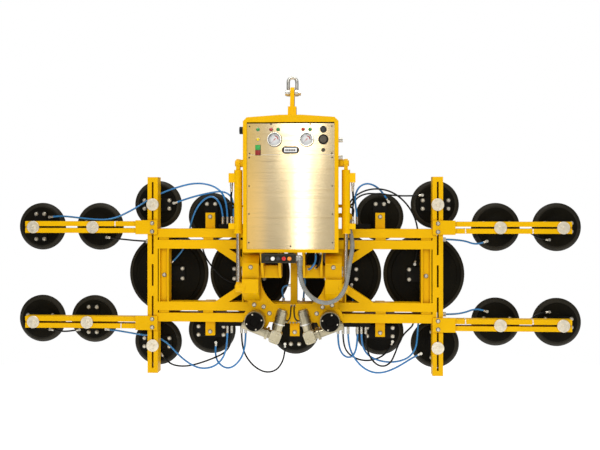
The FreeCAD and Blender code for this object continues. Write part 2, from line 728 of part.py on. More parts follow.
start_z = low_row_z + BUTTON_PITCH / 2
stop_z = low_row_z - BUTTON_PITCH / 2
panel_buttons = [("start_button", -outer_column, start_z), ("stop_button", -outer_column, stop_z),
                 ("mute_button", outer_column, top_row_z)]
for name, x, z in panel_buttons:
    write(name, button_at(x, panel_front_y, z))
    panel = panel.cut(button_bore(x, panel_front_y, z))
switch_half = BUTTON_RADIUS + BUTTON_COLLAR
double_collar = block((-outer_column - switch_half, -outer_column + switch_half),
                      (panel_front_y, panel_front_y - BUTTON_COLLAR_DEPTH),
                      (stop_z - switch_half, start_z + switch_half))
for name, x, z in panel_buttons[:2]:
    double_collar = double_collar.cut(button_bore(x, panel_front_y, z))
collars = [double_collar, button_collar(outer_column, panel_front_y, top_row_z)]
write("control_panel", panel)
meter_half = METER_WIDTH / 2
meter_round = METER_HEIGHT / 2
meter = weld([block((-meter_half + meter_round, meter_half - meter_round),
                    (panel_front_y, panel_front_y - METER_DEPTH),
                    (low_row_z - meter_round, low_row_z + meter_round))]
             + [rod(Vector(side * (meter_half - meter_round), panel_front_y, low_row_z),
                    Vector(side * (meter_half - meter_round), panel_front_y - METER_DEPTH, low_row_z),
                    meter_round)
                for side in (-1, 1)])
buzzer_front_y = panel_front_y - BUZZER_DEPTH
buzzer = turned_y([(0, panel_front_y), (BUZZER_RADIUS, panel_front_y),
                   (BUZZER_RADIUS, buzzer_front_y + LAMP_COLLAR),
                   (BUZZER_RADIUS - LAMP_COLLAR, buzzer_front_y), (0, buzzer_front_y)], outer_column,
                   middle_row_z)
lock = rod(Vector(outer_column, panel_front_y, low_row_z),
           Vector(outer_column, panel_front_y - LOCK_DEPTH, low_row_z),
           LOCK_RADIUS)
switch_y = bail_front_y + BAIL_DEPTH / 3
switch = rod(Vector(-BAIL_HALF_WIDTH, switch_y, top_row_z),
             Vector(-BAIL_HALF_WIDTH - SWITCH_DEPTH, switch_y, top_row_z),
             SWITCH_RADIUS)
connectors = []
for step in (0, 1):
    z = middle_row_z - step * CONNECTOR_PITCH
    connectors.append(rod(Vector(BAIL_HALF_WIDTH, switch_y, z),
                          Vector(BAIL_HALF_WIDTH + CONNECTOR_DEPTH, switch_y, z),
                          CONNECTOR_RADIUS))
write("panel_instruments", meter, buzzer, lock, switch, *(connectors + collars))

# Pendant control, clipped under the front of the bail
pendant_left = -PENDANT_LEFT
pendant_right = pendant_left + PENDANT_WIDTH
pendant_front_y = -PENDANT_FRONT
pendant_back_y = pendant_front_y + PENDANT_DEPTH
pendant_top_z = bail_bottom_z - PENDANT_DROP
pendant_z = pendant_top_z - PENDANT_HEIGHT / 2
pendant_low_z = pendant_top_z - PENDANT_HEIGHT
pendant_body = block((pendant_left, pendant_right), (pendant_front_y, pendant_back_y),
                     (pendant_low_z, pendant_top_z))
long_edges = [edge for edge in pendant_body.Edges if abs(edge.tangentAt(edge.FirstParameter).x) > 0.9]
pendant_body = pendant_body.makeFillet(PENDANT_ROUND, long_edges)
clips = []
for x in (pendant_left + CLIP_WIDTH, pendant_right - CLIP_WIDTH):
    clips.append(block((x - CLIP_WIDTH / 2, x + CLIP_WIDTH / 2),
                       (bail_front_y, pendant_back_y - PENDANT_ROUND),
                       (pendant_top_z - PENDANT_ROUND, bail_bottom_z)))
gland_x = pendant_right + GLAND_RADIUS + 2 * GLAND_KNUCKLE
gland_y = (pendant_front_y + pendant_back_y) / 2
gland_low_z = pendant_z - GLAND_RADIUS - GLAND_LENGTH
gland = weld([rod(Vector(pendant_right - OVERRUN, gland_y, pendant_z),
                  Vector(gland_x, gland_y, pendant_z), GLAND_RADIUS),
              Part.makeSphere(GLAND_RADIUS + GLAND_KNUCKLE, Vector(gland_x, gland_y, pendant_z)),
              rod(Vector(gland_x, gland_y, pendant_z), Vector(gland_x, gland_y, gland_low_z),
                  GLAND_RADIUS)])
pendant = weld([pendant_body, gland] + clips)
for step in range(5):
    x = pendant_left + PENDANT_BUTTON_LEFT + step * PENDANT_BUTTON_PITCH
    write("pendant_button_" + str(step + 1), button_at(x, pendant_front_y, pendant_z))
    collar = button_collar(x, pendant_front_y, pendant_z)
    pendant = weld([pendant, collar]).cut(button_bore(x, pendant_front_y, pendant_z))
write("pendant_housing", pendant)

# Tilt cylinders: the barrel hangs on the upper pin, the rod ends at the yoke
barrel_top_z = top_pin_z - TOP_EYE_DROP
barrel_low_z = barrel_top_z - BARREL_LENGTH


def at_cylinder(z, x=cylinder_x):
    return Vector(x, cylinder_y, z)


top_eye = rod(at_cylinder(top_pin_z, eye_inner_x), at_cylinder(top_pin_z, eye_outer_x), TOP_EYE_RADIUS)
eye_neck = block((eye_inner_x, eye_outer_x), (cylinder_y - BARREL_BORE, cylinder_y + BARREL_BORE),
                 (barrel_top_z - BARREL_CAP / 2, top_pin_z))
barrel = rod(at_cylinder(barrel_top_z), at_cylinder(barrel_low_z), BARREL_RADIUS)
gland_nut = rod(at_cylinder(barrel_low_z + GLAND_NUT_LENGTH), at_cylinder(barrel_low_z), GLAND_NUT_RADIUS)
port_inner_x = cylinder_x + BARREL_BORE
port_outer_x = port_inner_x + PORT_WIDTH
port_x = (cylinder_x + BARREL_RADIUS + port_outer_x) / 2
upper_port_top_z = barrel_top_z - PORT_UPPER_DROP
upper_port_low_z = upper_port_top_z - PORT_UPPER_HEIGHT
lower_port_low_z = barrel_low_z + PORT_LOWER_RISE
lower_port_top_z = lower_port_low_z + PORT_LOWER_HEIGHT
port_y_range = (cylinder_y - PORT_DEPTH / 2, cylinder_y + PORT_DEPTH / 2)
upper_port = block((port_inner_x, port_outer_x), port_y_range, (upper_port_low_z, upper_port_top_z))
lower_port = block((port_inner_x, port_outer_x), port_y_range, (lower_port_low_z, lower_port_top_z))
cylinder_body = weld([top_eye, eye_neck, barrel, gland_nut, upper_port, lower_port])
cylinder_body = cylinder_body.cut(rod(at_cylinder(top_pin_z, eye_inner_x - OVERRUN),
                                      at_cylinder(top_pin_z, eye_outer_x + OVERRUN),
                                      TOP_PIN_RADIUS + RUNNING_FIT))
cylinder_body = cylinder_body.cut(rod(at_cylinder(barrel_low_z + GLAND_NUT_LENGTH),
                                      at_cylinder(barrel_top_z - BARREL_CAP), BARREL_BORE))
cylinder_body = cylinder_body.cut(rod(at_cylinder(barrel_low_z - OVERRUN),
                                      at_cylinder(barrel_top_z - BARREL_CAP),
                                      ROD_RADIUS + RUNNING_FIT))
write("cylinder_right", cylinder_body)
write("cylinder_left", mirrored(cylinder_body))
piston_low_z = barrel_low_z + GLAND_NUT_LENGTH + PISTON_LENGTH / 2
rod_eye_inner_x = cylinder_x - ROD_EYE_WIDTH / 2
rod_eye_outer_x = cylinder_x + ROD_EYE_WIDTH / 2
boss_end_x = rod_eye_inner_x - 2 * SIDE_GAP
rod_piece = weld([rod(at_cylinder(rod_pin_z), at_cylinder(piston_low_z + PISTON_LENGTH), ROD_RADIUS),
                  rod(at_cylinder(piston_low_z), at_cylinder(piston_low_z + PISTON_LENGTH),
                      BARREL_BORE - PISTON_FIT),
                  rod(at_cylinder(rod_pin_z, rod_eye_inner_x), at_cylinder(rod_pin_z, rod_eye_outer_x),
                      ROD_EYE_RADIUS),
                  rod(at_cylinder(rod_pin_z, boss_end_x + SIDE_GAP),
                      at_cylinder(rod_pin_z, rod_eye_outer_x + PIN_CAP_LENGTH), ROD_PIN_RADIUS)])
write("rod_right", rod_piece)
write("rod_left", mirrored(rod_piece))

# Yoke: a plate with a round opening, boxed arms round the tilt pins and brackets for the rods
plate_range = (YOKE_PLATE_FRONT, yoke_back_y)
yoke_top_z = tilt_z + YOKE_ARM_TOP
opening_radius = YOKE_CHEEK_INNER
ear_rise = YOKE_ARM_TOP + EAR_DROP
ear_x = YOKE_HALF_WIDTH + EAR_OVERHANG - EAR_RADIUS
ear_corner_x = ear_x + math.sqrt(EAR_RADIUS * EAR_RADIUS - ear_rise * ear_rise)
ear_z = tilt_z - EAR_DROP
outline_right = [(YOKE_FOOT_HALF, turn_z - YOKE_FOOT_DROP), (YOKE_WAIST_HALF, turn_z - YOKE_WAIST_DROP),
                 (YOKE_HALF_WIDTH, turn_z - YOKE_KNEE_DROP), (ear_corner_x, yoke_top_z)]
outline_left = [(-x, z) for x, z in reversed(outline_right)]
yoke_plate = plate_xz(outline_right + outline_left, plate_range)
cut_range = (YOKE_PLATE_FRONT - OVERRUN, yoke_back_y + OVERRUN)
opening_round = rod(Vector(0, cut_range[0], turn_z), Vector(0, cut_range[1], turn_z), opening_radius)
opening_top = block((-opening_radius, opening_radius), cut_range, (turn_z, yoke_top_z + OVERRUN))
sill = block((-opening_radius, opening_radius), (cut_range[0] - OVERRUN, cut_range[1] + OVERRUN),
             (turn_z - YOKE_SILL_DROP, turn_z - opening_radius - OVERRUN))
gear_distance = GEAR_MODULE * (RING_TEETH + PINION_TEETH) / 2
gearbox_z = turn_z - math.sqrt(gear_distance * gear_distance - GEARBOX_X * GEARBOX_X)
wing = rod(Vector(GEARBOX_X, plate_range[0], gearbox_z), Vector(GEARBOX_X, plate_range[1], gearbox_z),
           YOKE_WING_RADIUS)
ear = rod(Vector(ear_x, plate_range[0], ear_z), Vector(ear_x, plate_range[1], ear_z), EAR_RADIUS)
above_ear = block((ear_x - EAR_RADIUS - OVERRUN, ear_x + EAR_RADIUS + OVERRUN), cut_range,
                  (yoke_top_z, ear_z + EAR_RADIUS + OVERRUN))
ear = ear.cut(above_ear)
yoke_opening = weld([opening_round, opening_top]).cut(sill)
yoke_plate = weld([yoke_plate] + both_sides(wing) + both_sides(ear)).cut(yoke_opening)
cheek_profile = [(YOKE_PLATE_FRONT, yoke_top_z), (-NOSE_TOP_FRONT, tilt_z + NOSE_TOP_RISE),
                 (-CHEEK_ROUND, tilt_z + NOSE_KNEE_RISE),
                 (-CHEEK_ROUND, tilt_z - CHEEK_ROUND), (YOKE_PLATE_FRONT, tilt_z - CHEEK_TAIL_DROP)]
outer_cheek_x = YOKE_HALF_WIDTH - YOKE_OUTER_CHEEK
inner_cheek_x = YOKE_CHEEK_INNER + YOKE_INNER_CHEEK
cheeks = []
for x_range in ((YOKE_CHEEK_INNER, inner_cheek_x), (outer_cheek_x, YOKE_HALF_WIDTH)):
    cheeks.append(plate_yz(cheek_profile, x_range))
bracket_top_z = tilt_z - BRACKET_TOP_DROP
bracket_low_z = bracket_top_z - BRACKET_HEIGHT
bracket_profile = [(YOKE_PLATE_FRONT, bracket_top_z), (-BRACKET_FRONT, bracket_top_z),
                   (-BRACKET_FRONT, bracket_low_z),
                   (YOKE_PLATE_FRONT, bracket_low_z - BRACKET_TOE)]
bracket_inner = [(YOKE_PLATE_FRONT, bracket_top_z + OVERRUN),
                 (-BRACKET_FRONT + BRACKET_WALL, bracket_top_z + OVERRUN),
                 (-BRACKET_FRONT + BRACKET_WALL, bracket_low_z + BRACKET_WALL / 2),
                 (YOKE_PLATE_FRONT, bracket_low_z - BRACKET_TOE + BRACKET_WALL)]
bracket = plate_yz(bracket_profile, (YOKE_CHEEK_INNER, YOKE_HALF_WIDTH))
bracket = bracket.cut(plate_yz(bracket_inner, (inner_cheek_x, outer_cheek_x)))
boss = rod(at_cylinder(rod_pin_z, outer_cheek_x), at_cylinder(rod_pin_z, boss_end_x), ROD_BOSS_RADIUS)
nose_profile = cheek_profile[:3] + [(-CHEEK_ROUND, bracket_top_z), (YOKE_PLATE_FRONT, bracket_top_z)]
nose_inner = [(YOKE_PLATE_FRONT, yoke_top_z - WEB_THICKNESS),
              (WEB_THICKNESS / 2 - NOSE_TOP_FRONT, tilt_z + NOSE_TOP_RISE - WEB_THICKNESS),
              (WEB_THICKNESS - CHEEK_ROUND, tilt_z + NOSE_KNEE_RISE - WEB_THICKNESS / 2),
              (WEB_THICKNESS - CHEEK_ROUND, bracket_top_z - OVERRUN),
              (YOKE_PLATE_FRONT, bracket_top_z - OVERRUN)]
nose = plate_yz(nose_profile, (YOKE_CHEEK_INNER, YOKE_HALF_WIDTH))
nose = nose.cut(plate_yz(nose_inner, (inner_cheek_x, outer_cheek_x)))
half_yoke = cheeks + [bracket, boss, nose]
yoke_pieces = [yoke_plate]
for piece in half_yoke:
    yoke_pieces.extend(both_sides(piece))
yoke_frame = weld(yoke_pieces)
cheek_bore = rod(Vector(YOKE_CHEEK_INNER - OVERRUN, 0, tilt_z),
                 Vector(YOKE_HALF_WIDTH + OVERRUN, 0, tilt_z),
                 TILT_PIN_RADIUS + RUNNING_FIT)
shaft_bore = rod(Vector(GEARBOX_X, cut_range[0], gearbox_z), Vector(GEARBOX_X, cut_range[1], gearbox_z),
                 PINION_SHAFT_RADIUS + SIDE_GAP)
for tool in both_sides(cheek_bore) + both_sides(shaft_bore):
    yoke_frame = yoke_frame.cut(tool)
write("yoke_frame", yoke_frame)
tilt_pin = weld([rod(Vector(HINGE_BLOCK_INNER + TILT_PIN_INSET, 0, tilt_z),
                     Vector(YOKE_HALF_WIDTH, 0, tilt_z),
                     TILT_PIN_RADIUS),
                 rod(Vector(YOKE_HALF_WIDTH, 0, tilt_z), Vector(YOKE_HALF_WIDTH + TILT_HEAD_LENGTH, 0,
                                                                tilt_z),
                     TILT_HEAD_RADIUS)])
write("tilt_pins", *both_sides(tilt_pin))


def involute_gear(teeth, x, z, y_range, phase, thinner):
    """An external gear: involute flanks as short straight facets, thinned for backlash."""
    pitch = GEAR_MODULE * teeth / 2
    base = pitch * math.cos(math.radians(PRESSURE_ANGLE))
    tip = pitch + GEAR_MODULE * ADDENDUM_SHARE
    root = pitch - GEAR_MODULE * DEDENDUM_SHARE
    low = max(base, root)
    half_tooth = math.pi / (2 * teeth) - thinner / (2 * pitch)
    pitch_roll = math.tan(math.radians(PRESSURE_ANGLE)) - math.radians(PRESSURE_ANGLE)
    flank = []
    for step in range(4):
        radius = low + (tip - low) * step / 3
        lean = math.acos(min(1, base / radius))
        flank.append((radius, half_tooth + pitch_roll - (math.tan(lean) - lean)))
    points = []
    for tooth in range(teeth):
        middle = phase + 2 * math.pi * tooth / teeth
        outline = [(root, -flank[0][1])] + [(radius, -angle) for radius, angle in flank]
        outline = outline + [(radius, angle) for radius, angle in reversed(flank)] + [(root, flank[0][1])]
        for radius, angle in outline:
            points.append((x + radius * math.sin(middle + angle), z + radius * math.cos(middle + angle)))
    cleaned = [points[0]]
    for point in points[1:]:
        if math.dist(point, cleaned[-1]) > BACKLASH / 10:
            cleaned.append(point)
    return plate_xz(cleaned, y_range)


# Slewing ring: plain inner ring on the yoke, toothed outer ring on the hub plate
ring_range = (yoke_back_y, hub_front_y - RING_STEP)
inner_ring = rod(Vector(0, ring_range[0], turn_z), Vector(0, ring_range[1], turn_z), RACE_RADIUS)
inner_ring = inner_ring.cut(rod(Vector(0, ring_range[0] - OVERRUN, turn_z),
                                Vector(0, ring_range[1] + OVERRUN, turn_z),
                                RING_BORE))
write("slew_inner_ring", inner_ring)
gear_range = (yoke_back_y + RING_STEP, hub_front_y)
gear_ring = involute_gear(RING_TEETH, 0, turn_z, gear_range, 0, BACKLASH)
gear_ring = gear_ring.cut(rod(Vector(0, gear_range[0] - OVERRUN, turn_z),
                              Vector(0, gear_range[1] + OVERRUN, turn_z),
                              RACE_RADIUS + RACE_GAP))
write("slew_gear_ring", gear_ring)
pinion_angle = math.atan2(GEARBOX_X, gearbox_z - turn_z)
pinion_range = (gear_range[0] + PINION_INSET, gear_range[1] - PINION_INSET)


def pinion(side):
    """A pinion with its shaft; a gap between its teeth faces the nearest tooth of the ring."""
    x = side * GEARBOX_X
    line = side * pinion_angle
    ring_pitch = 2 * math.pi / RING_TEETH
    off_tooth = line - round(line / ring_pitch) * ring_pitch
    facing = line + math.pi + off_tooth * RING_TEETH / PINION_TEETH
    gear = involute_gear(PINION_TEETH, x, gearbox_z, pinion_range, facing + math.pi / PINION_TEETH,
                         BACKLASH)
    shaft = rod(Vector(x, pinion_range[0], gearbox_z), Vector(x, pinion_range[0] - PINION_SHAFT_LENGTH,
                                                              gearbox_z),
                PINION_SHAFT_RADIUS)
    return weld([gear, shaft])


write("pinion_right", pinion(1))
write("pinion_left", pinion(-1))

# Motor cable of the right drive, heights above the turning axis
CABLE_ROUTE = [(9, 33, -166), (9, 10, -166), (9, -14, -176), (10, -25, -204), (14, -20, -230),
               (23, -9, -244), (32, -3, -249)]

# Worm gearboxes on the front of the yoke, each with a bevel head and an upright motor
gearbox_front_y = YOKE_PLATE_FRONT - GEARBOX_DEPTH
centre = Vector(GEARBOX_X, 0, gearbox_z)
housing = rod(Vector(GEARBOX_X, YOKE_PLATE_FRONT, gearbox_z), Vector(GEARBOX_X, gearbox_front_y, gearbox_z),
              GEARBOX_RADIUS)
worm_y = (YOKE_PLATE_FRONT + gearbox_front_y) / 2
worm_z = gearbox_z - WORM_DROP
worm_start = Vector(GEARBOX_X + WORM_REACH, worm_y, worm_z)
worm_end = worm_start - X_AXIS * WORM_LENGTH
worm = rod(worm_start, worm_end, WORM_RADIUS)
worm_cap = rod(worm_start, worm_start + X_AXIS * WORM_CAP_LENGTH, WORM_CAP_RADIUS)
flange_end = worm_end - X_AXIS * FLANGE_THICKNESS
flange = rod(worm_end, flange_end, FLANGE_RADIUS)
neck_end = flange_end - X_AXIS * NECK_LENGTH
neck = rod(flange_end, neck_end, NECK_RADIUS)
gearbox = weld([housing, worm, worm_cap, flange, neck]).rotate(centre, Y_AXIS, -WORM_ANGLE)
shaft_socket = rod(Vector(GEARBOX_X, YOKE_PLATE_FRONT + OVERRUN, gearbox_z),
                   Vector(GEARBOX_X, pinion_range[0] - PINION_SHAFT_LENGTH - SIDE_GAP, gearbox_z),
                   PINION_SHAFT_RADIUS + RUNNING_FIT)
gearbox = gearbox.cut(shaft_socket)
write("gearbox_housings", *both_sides(gearbox))
cover_profile = [(0, gearbox_front_y), (COVER_RADIUS, gearbox_front_y),
                 (COVER_RADIUS, gearbox_front_y - COVER_DEPTH),
                 (COVER_RADIUS - COVER_DISH, gearbox_front_y - COVER_DEPTH - COVER_DISH / 2),
                 (COVER_RADIUS / 2, gearbox_front_y - COVER_DEPTH - COVER_DISH / 2),
                 (COVER_RADIUS / 2 - COVER_DISH, gearbox_front_y - COVER_DEPTH + COVER_DISH / 2),
                 (0, gearbox_front_y - COVER_DEPTH + COVER_DISH / 2)]
cover = turned_y(cover_profile, GEARBOX_X, gearbox_z)
write("gearbox_covers", *both_sides(cover))
head_face = neck_end - X_AXIS * HEAD_WIDTH
head_low_z = worm_z - HEAD_HEIGHT / 2
head_top_z = worm_z + HEAD_HEIGHT / 2
head_y_range = (worm_y - HEAD_DEPTH / 2, worm_y + HEAD_DEPTH / 2)
motor_head = block((neck_end.x, head_face.x), head_y_range, (head_low_z, head_top_z))
head_edges = [edge for edge in motor_head.Edges if abs(edge.tangentAt(edge.FirstParameter).y) > 0.9]
motor_head = motor_head.makeFillet(HEAD_CORNER, head_edges)
motor_head = motor_head.rotate(centre, Y_AXIS, -WORM_ANGLE)
head_centre = Vector((neck_end.x + head_face.x) / 2, worm_y, worm_z)
turn = FreeCAD.Rotation(Y_AXIS, -WORM_ANGLE)
head_middle = centre + turn.multVec(head_centre - centre)
lean = FreeCAD.Rotation(Y_AXIS, -MOTOR_LEAN).multVec(Z_AXIS)
motor_pieces = [motor_head]
reached = head_middle
for length, radius in ((HEAD_HEIGHT / 2 + ADAPTER_LENGTH, ADAPTER_RADIUS),
                       (MOTOR_RING_LENGTH, MOTOR_RING_RADIUS),
                       (MOTOR_LENGTH, MOTOR_RADIUS), (MOTOR_CAP_LENGTH, MOTOR_CAP_RADIUS)):
    motor_pieces.append(rod(reached, reached + lean * length, radius))
    reached = reached + lean * length
cable_end = Vector(*CABLE_ROUTE[-1]) + Z_AXIS * turn_z
cable_heading = Vector(*CABLE_ROUTE[-1]) - Vector(*CABLE_ROUTE[-2])
cable_heading.normalize()
motor_pieces.append(rod(cable_end, cable_end + cable_heading * CABLE_GLAND_REACH, CABLE_GLAND_RADIUS))
write("drive_motors", *both_sides(weld(motor_pieces)))

# Bolts on the yoke: gearbox feet, covers and arm webs
yoke_bolts = []
for angle in (25, 59, 97):
    spot = math.radians(angle)
    x = GEARBOX_X - GEARBOX_BOLT_CIRCLE * math.cos(spot)
    z = gearbox_z + GEARBOX_BOLT_CIRCLE * math.sin(spot)
    yoke_bolts.extend(both_sides(bolt_with_washer(x, YOKE_PLATE_FRONT, z)))
for step in range(COVER_BOLTS):
    spot = math.radians(COVER_BOLT_TURN + 360 * step / COVER_BOLTS)
    x = GEARBOX_X + COVER_BOLT_RADIUS * math.cos(spot)
    z = gearbox_z + COVER_BOLT_RADIUS * math.sin(spot)
    head_y = gearbox_front_y - COVER_DEPTH - COVER_DISH / 2
    yoke_bolts.extend(both_sides(hex_bolt(x, head_y, z, BOLT_RADIUS / 2, BOLT_HEIGHT / 2)))
for side_x in (-HEAD_BOLT_SHARE, HEAD_BOLT_SHARE):
    for side_z in (-HEAD_BOLT_SHARE, HEAD_BOLT_SHARE):
        offset = turn.multVec(Vector(side_x * HEAD_WIDTH, 0, side_z * HEAD_HEIGHT))
        head_bolt = hex_bolt(head_middle.x + offset.x, head_y_range[0], head_middle.z + offset.z,
                             BOLT_RADIUS / 2, BOLT_HEIGHT / 2)
        yoke_bolts.extend(both_sides(head_bolt))
web_bolt_x = (inner_cheek_x + outer_cheek_x) / 2
yoke_bolts.extend(both_sides(bolt_with_washer(web_bolt_x, -CHEEK_ROUND, tilt_z + WEB_BOLT_RISE)))
write("yoke_bolts", *yoke_bolts)

# Pad frame: hub plate, twin rails, uprights, braces and pad posts
hub = rod(Vector(0, hub_front_y, turn_z), Vector(0, frame_front_y, turn_z), HUB_RADIUS)
hub = hub.cut(rod(Vector(0, hub_front_y - OVERRUN, turn_z), Vector(0, frame_front_y + OVERRUN, turn_z),
                  RING_BORE))
write("hub_plate", hub)
rail_range = (frame_front_y, frame_back_y)
beam_inner_x = BEAM_X - BEAM_WIDTH / 2
beam_outer_x = BEAM_X + BEAM_WIDTH / 2
rails = []
for level in (RAIL_OUTER_Z, RAIL_INNER_Z, -RAIL_INNER_Z, -RAIL_OUTER_Z):
    low = turn_z + level - RAIL_HEIGHT / 2
    outer = block((-beam_inner_x, beam_inner_x), rail_range, (low, low + RAIL_HEIGHT))
    inner = block((-beam_inner_x - OVERRUN, beam_inner_x + OVERRUN),
                  (rail_range[0] + RAIL_WALL, rail_range[1] - RAIL_WALL),
                  (low + RAIL_WALL, low + RAIL_HEIGHT - RAIL_WALL))
    rails.append(outer.cut(inner))
write("frame_rails", *rails)
inner_edge = RAIL_INNER_Z - RAIL_HEIGHT / 2
uprights = []
for x in (-UPRIGHT_X, -UPRIGHT_INNER_X, UPRIGHT_INNER_X, UPRIGHT_X):
    solid = block((x - UPRIGHT_WIDTH / 2, x + UPRIGHT_WIDTH / 2), rail_range,
                  (turn_z - inner_edge, turn_z + inner_edge))
    inside = (x - UPRIGHT_WIDTH / 2 + UPRIGHT_WALL, x + UPRIGHT_WIDTH / 2 - UPRIGHT_WALL)
    height = (turn_z - inner_edge - OVERRUN, turn_z + inner_edge + OVERRUN)
    recess = block(inside, (rail_range[0] - OVERRUN, rail_range[0] + UPRIGHT_RECESS), height)
    tunnel = block(inside, (rail_range[0] + UPRIGHT_RECESS + UPRIGHT_WALL, rail_range[1] - UPRIGHT_WALL),
                   height)
    uprights.append(solid.cut(recess).cut(tunnel))
post = block((-POST_WIDTH / 2, POST_WIDTH / 2), (frame_front_y, frame_front_y + POST_DEPTH),
             (turn_z - inner_edge, turn_z + inner_edge))
outer_low = RAIL_OUTER_Z - RAIL_HEIGHT / 2
inner_high = RAIL_INNER_Z + RAIL_HEIGHT / 2
spacers = []
for x in (-UPRIGHT_X, -RAIL_PAD_X, 0, RAIL_PAD_X, UPRIGHT_X):
    for side in (-1, 1):
        spacers.append(block((x - SPACER_WIDTH / 2, x + SPACER_WIDTH / 2),
                             (frame_front_y + RAIL_WALL, frame_back_y - RAIL_WALL),
                             (turn_z + side * inner_high, turn_z + side * outer_low)))
write("frame_uprights", post, *(uprights + spacers))
braces = []
for side_z in (-1, 1):
    rail_point = Vector(BRACE_RAIL_X, 0, turn_z + side_z * inner_edge)
    hub_point = Vector(BRACE_HUB_X, 0, turn_z + side_z * BRACE_HUB_Z)
    along = hub_point - rail_point
    along.normalize()
    across = Vector(-along.z, 0, along.x) * (BRACE_WIDTH / 2)
    reach = along * BRACE_WIDTH
    corners = [rail_point - reach + across, rail_point - reach - across, hub_point - across,
               hub_point + across]
    brace = plate_xz([(point.x, point.z) for point in corners],
                     (frame_front_y, frame_front_y + BRACE_DEPTH))
    keep = block((UPRIGHT_INNER_X + UPRIGHT_WIDTH / 2, BRACE_RAIL_X + 2 * BRACE_WIDTH),
                 (frame_front_y, frame_front_y + BRACE_DEPTH), (turn_z, turn_z + side_z * inner_edge))
    braces.extend(both_sides(brace.common(keep)))
write("frame_braces", *braces)
post_range = (frame_back_y, bridge_front_y)
pad_posts = []
for x in (-RAIL_PAD_X, 0, RAIL_PAD_X):
    for side in (-1, 1):
        pad_posts.append(block((x - PAD_POST_WIDTH / 2, x + PAD_POST_WIDTH / 2), post_range,
                               (turn_z + side * inner_edge, turn_z + side * PAD_POST_TOP)))
write("pad_posts", *pad_posts)

# Beams: two bars with a slot between them, closed by bridges
bar_width = (BEAM_WIDTH - BEAM_SLOT) / 2
beam = []
for side in (-1, 1):
    bar_x = BEAM_X + side * (BEAM_SLOT + bar_width) / 2
    beam.append(block((bar_x - bar_width / 2, bar_x + bar_width / 2), rail_range,
                      (turn_z - BEAM_HALF_LENGTH, turn_z + BEAM_HALF_LENGTH)))
for level in (-BEAM_HALF_LENGTH, -(RAIL_INNER_Z - BEAM_BRIDGE), RAIL_INNER_Z - 2 * BEAM_BRIDGE,
              BEAM_HALF_LENGTH - BEAM_BRIDGE / 2):
    length = BEAM_BRIDGE if abs(level) < RAIL_INNER_Z else BEAM_BRIDGE / 2
    beam.append(block((BEAM_X - BEAM_SLOT / 2, BEAM_X + BEAM_SLOT / 2), rail_range,
                      (turn_z + level, turn_z + level + length)))
write("beam_right", *beam)
write("beam_left", *[mirrored(piece) for piece in beam])

# Arms: a root plate clamped on the beam, and two bars with a slot between them
arm_bar_height = (ARM_HEIGHT - ARM_SLOT) / 2
arm_range = (frame_front_y, arm_back_y)
arms = []
for side in (-1, 1):
    level = turn_z + side * ARM_Z
    plate_inner_x = beam_inner_x
    root = block((plate_inner_x, plate_inner_x + ROOT_PLATE_LENGTH),
                 (frame_front_y - ROOT_PLATE_THICKNESS, frame_front_y),
                 (level - ROOT_PLATE_HEIGHT / 2, level + ROOT_PLATE_HEIGHT / 2))
    arms.append(root)
    for half_side in (-1, 1):
        middle = level + half_side * (ARM_SLOT + arm_bar_height) / 2
        arms.append(block((beam_outer_x, ARM_END_X), arm_range,
                          (middle - arm_bar_height / 2, middle + arm_bar_height / 2)))
    arms.append(block((ARM_END_X - ARM_TIP, ARM_END_X), (frame_front_y + RAIL_WALL, arm_back_y - RAIL_WALL),
                      (level - ARM_SLOT / 2, level + ARM_SLOT / 2)))
    arms.append(block((beam_outer_x, plate_inner_x + ROOT_PLATE_LENGTH),
                      (frame_front_y + RAIL_WALL, arm_back_y - RAIL_WALL),
                      (level - ARM_SLOT / 2, level + ARM_SLOT / 2)))
write("arms_right", *arms)
write("arms_left", *[mirrored(piece) for piece in arms])

# Suction pads: place, support face behind which the stem starts, clamp face in front, bridge turned or not
arm_pads = {-1: [], 1: []}
for side in (-1, 1):
    for level in (1, -1):
        middle_x = PAD_MIDDLE_X
        if side < 0 and level < 0:
            middle_x = PAD_MIDDLE_X + PAD_MIDDLE_SHIFT
        for x in (PAD_END_X, middle_x):
            arm_pads[side].append((side * x, turn_z + level * ARM_Z))
beam_pads = []
rail_pads = []
for level in (1, -1):
    for side in (-1, 1):
        beam_pads.append((side * BEAM_X, turn_z + level * BEAM_PAD_Z))
    for side in (-1, 0, 1):
        rail_pads.append((side * RAIL_PAD_X, turn_z + level * RAIL_PAD_Z))
large_pads = [(side * x, turn_z) for side in (-1, 1) for x in (UPRIGHT_INNER_X, UPRIGHT_X)]


def pad(x, z, radius):
    profile = [(radius * across, pad_back_y + PAD_HEIGHT * along) for across, along in PAD_PROFILE_SHARES]
    return turned_y(profile, x, z)


all_pads = []
for name, places, radius in (("arm_pads_left", arm_pads[-1], SMALL_PAD_RADIUS),
                             ("arm_pads_right", arm_pads[1], SMALL_PAD_RADIUS),
                             ("frame_pads", beam_pads + rail_pads, SMALL_PAD_RADIUS),
                             ("large_pads", large_pads, LARGE_PAD_RADIUS)):
    turned_pads = [pad(x, z, radius) for x, z in places]
    write(name, *turned_pads)
    all_pads.extend(turned_pads)
bridges = []
bolts = []
clamps = []


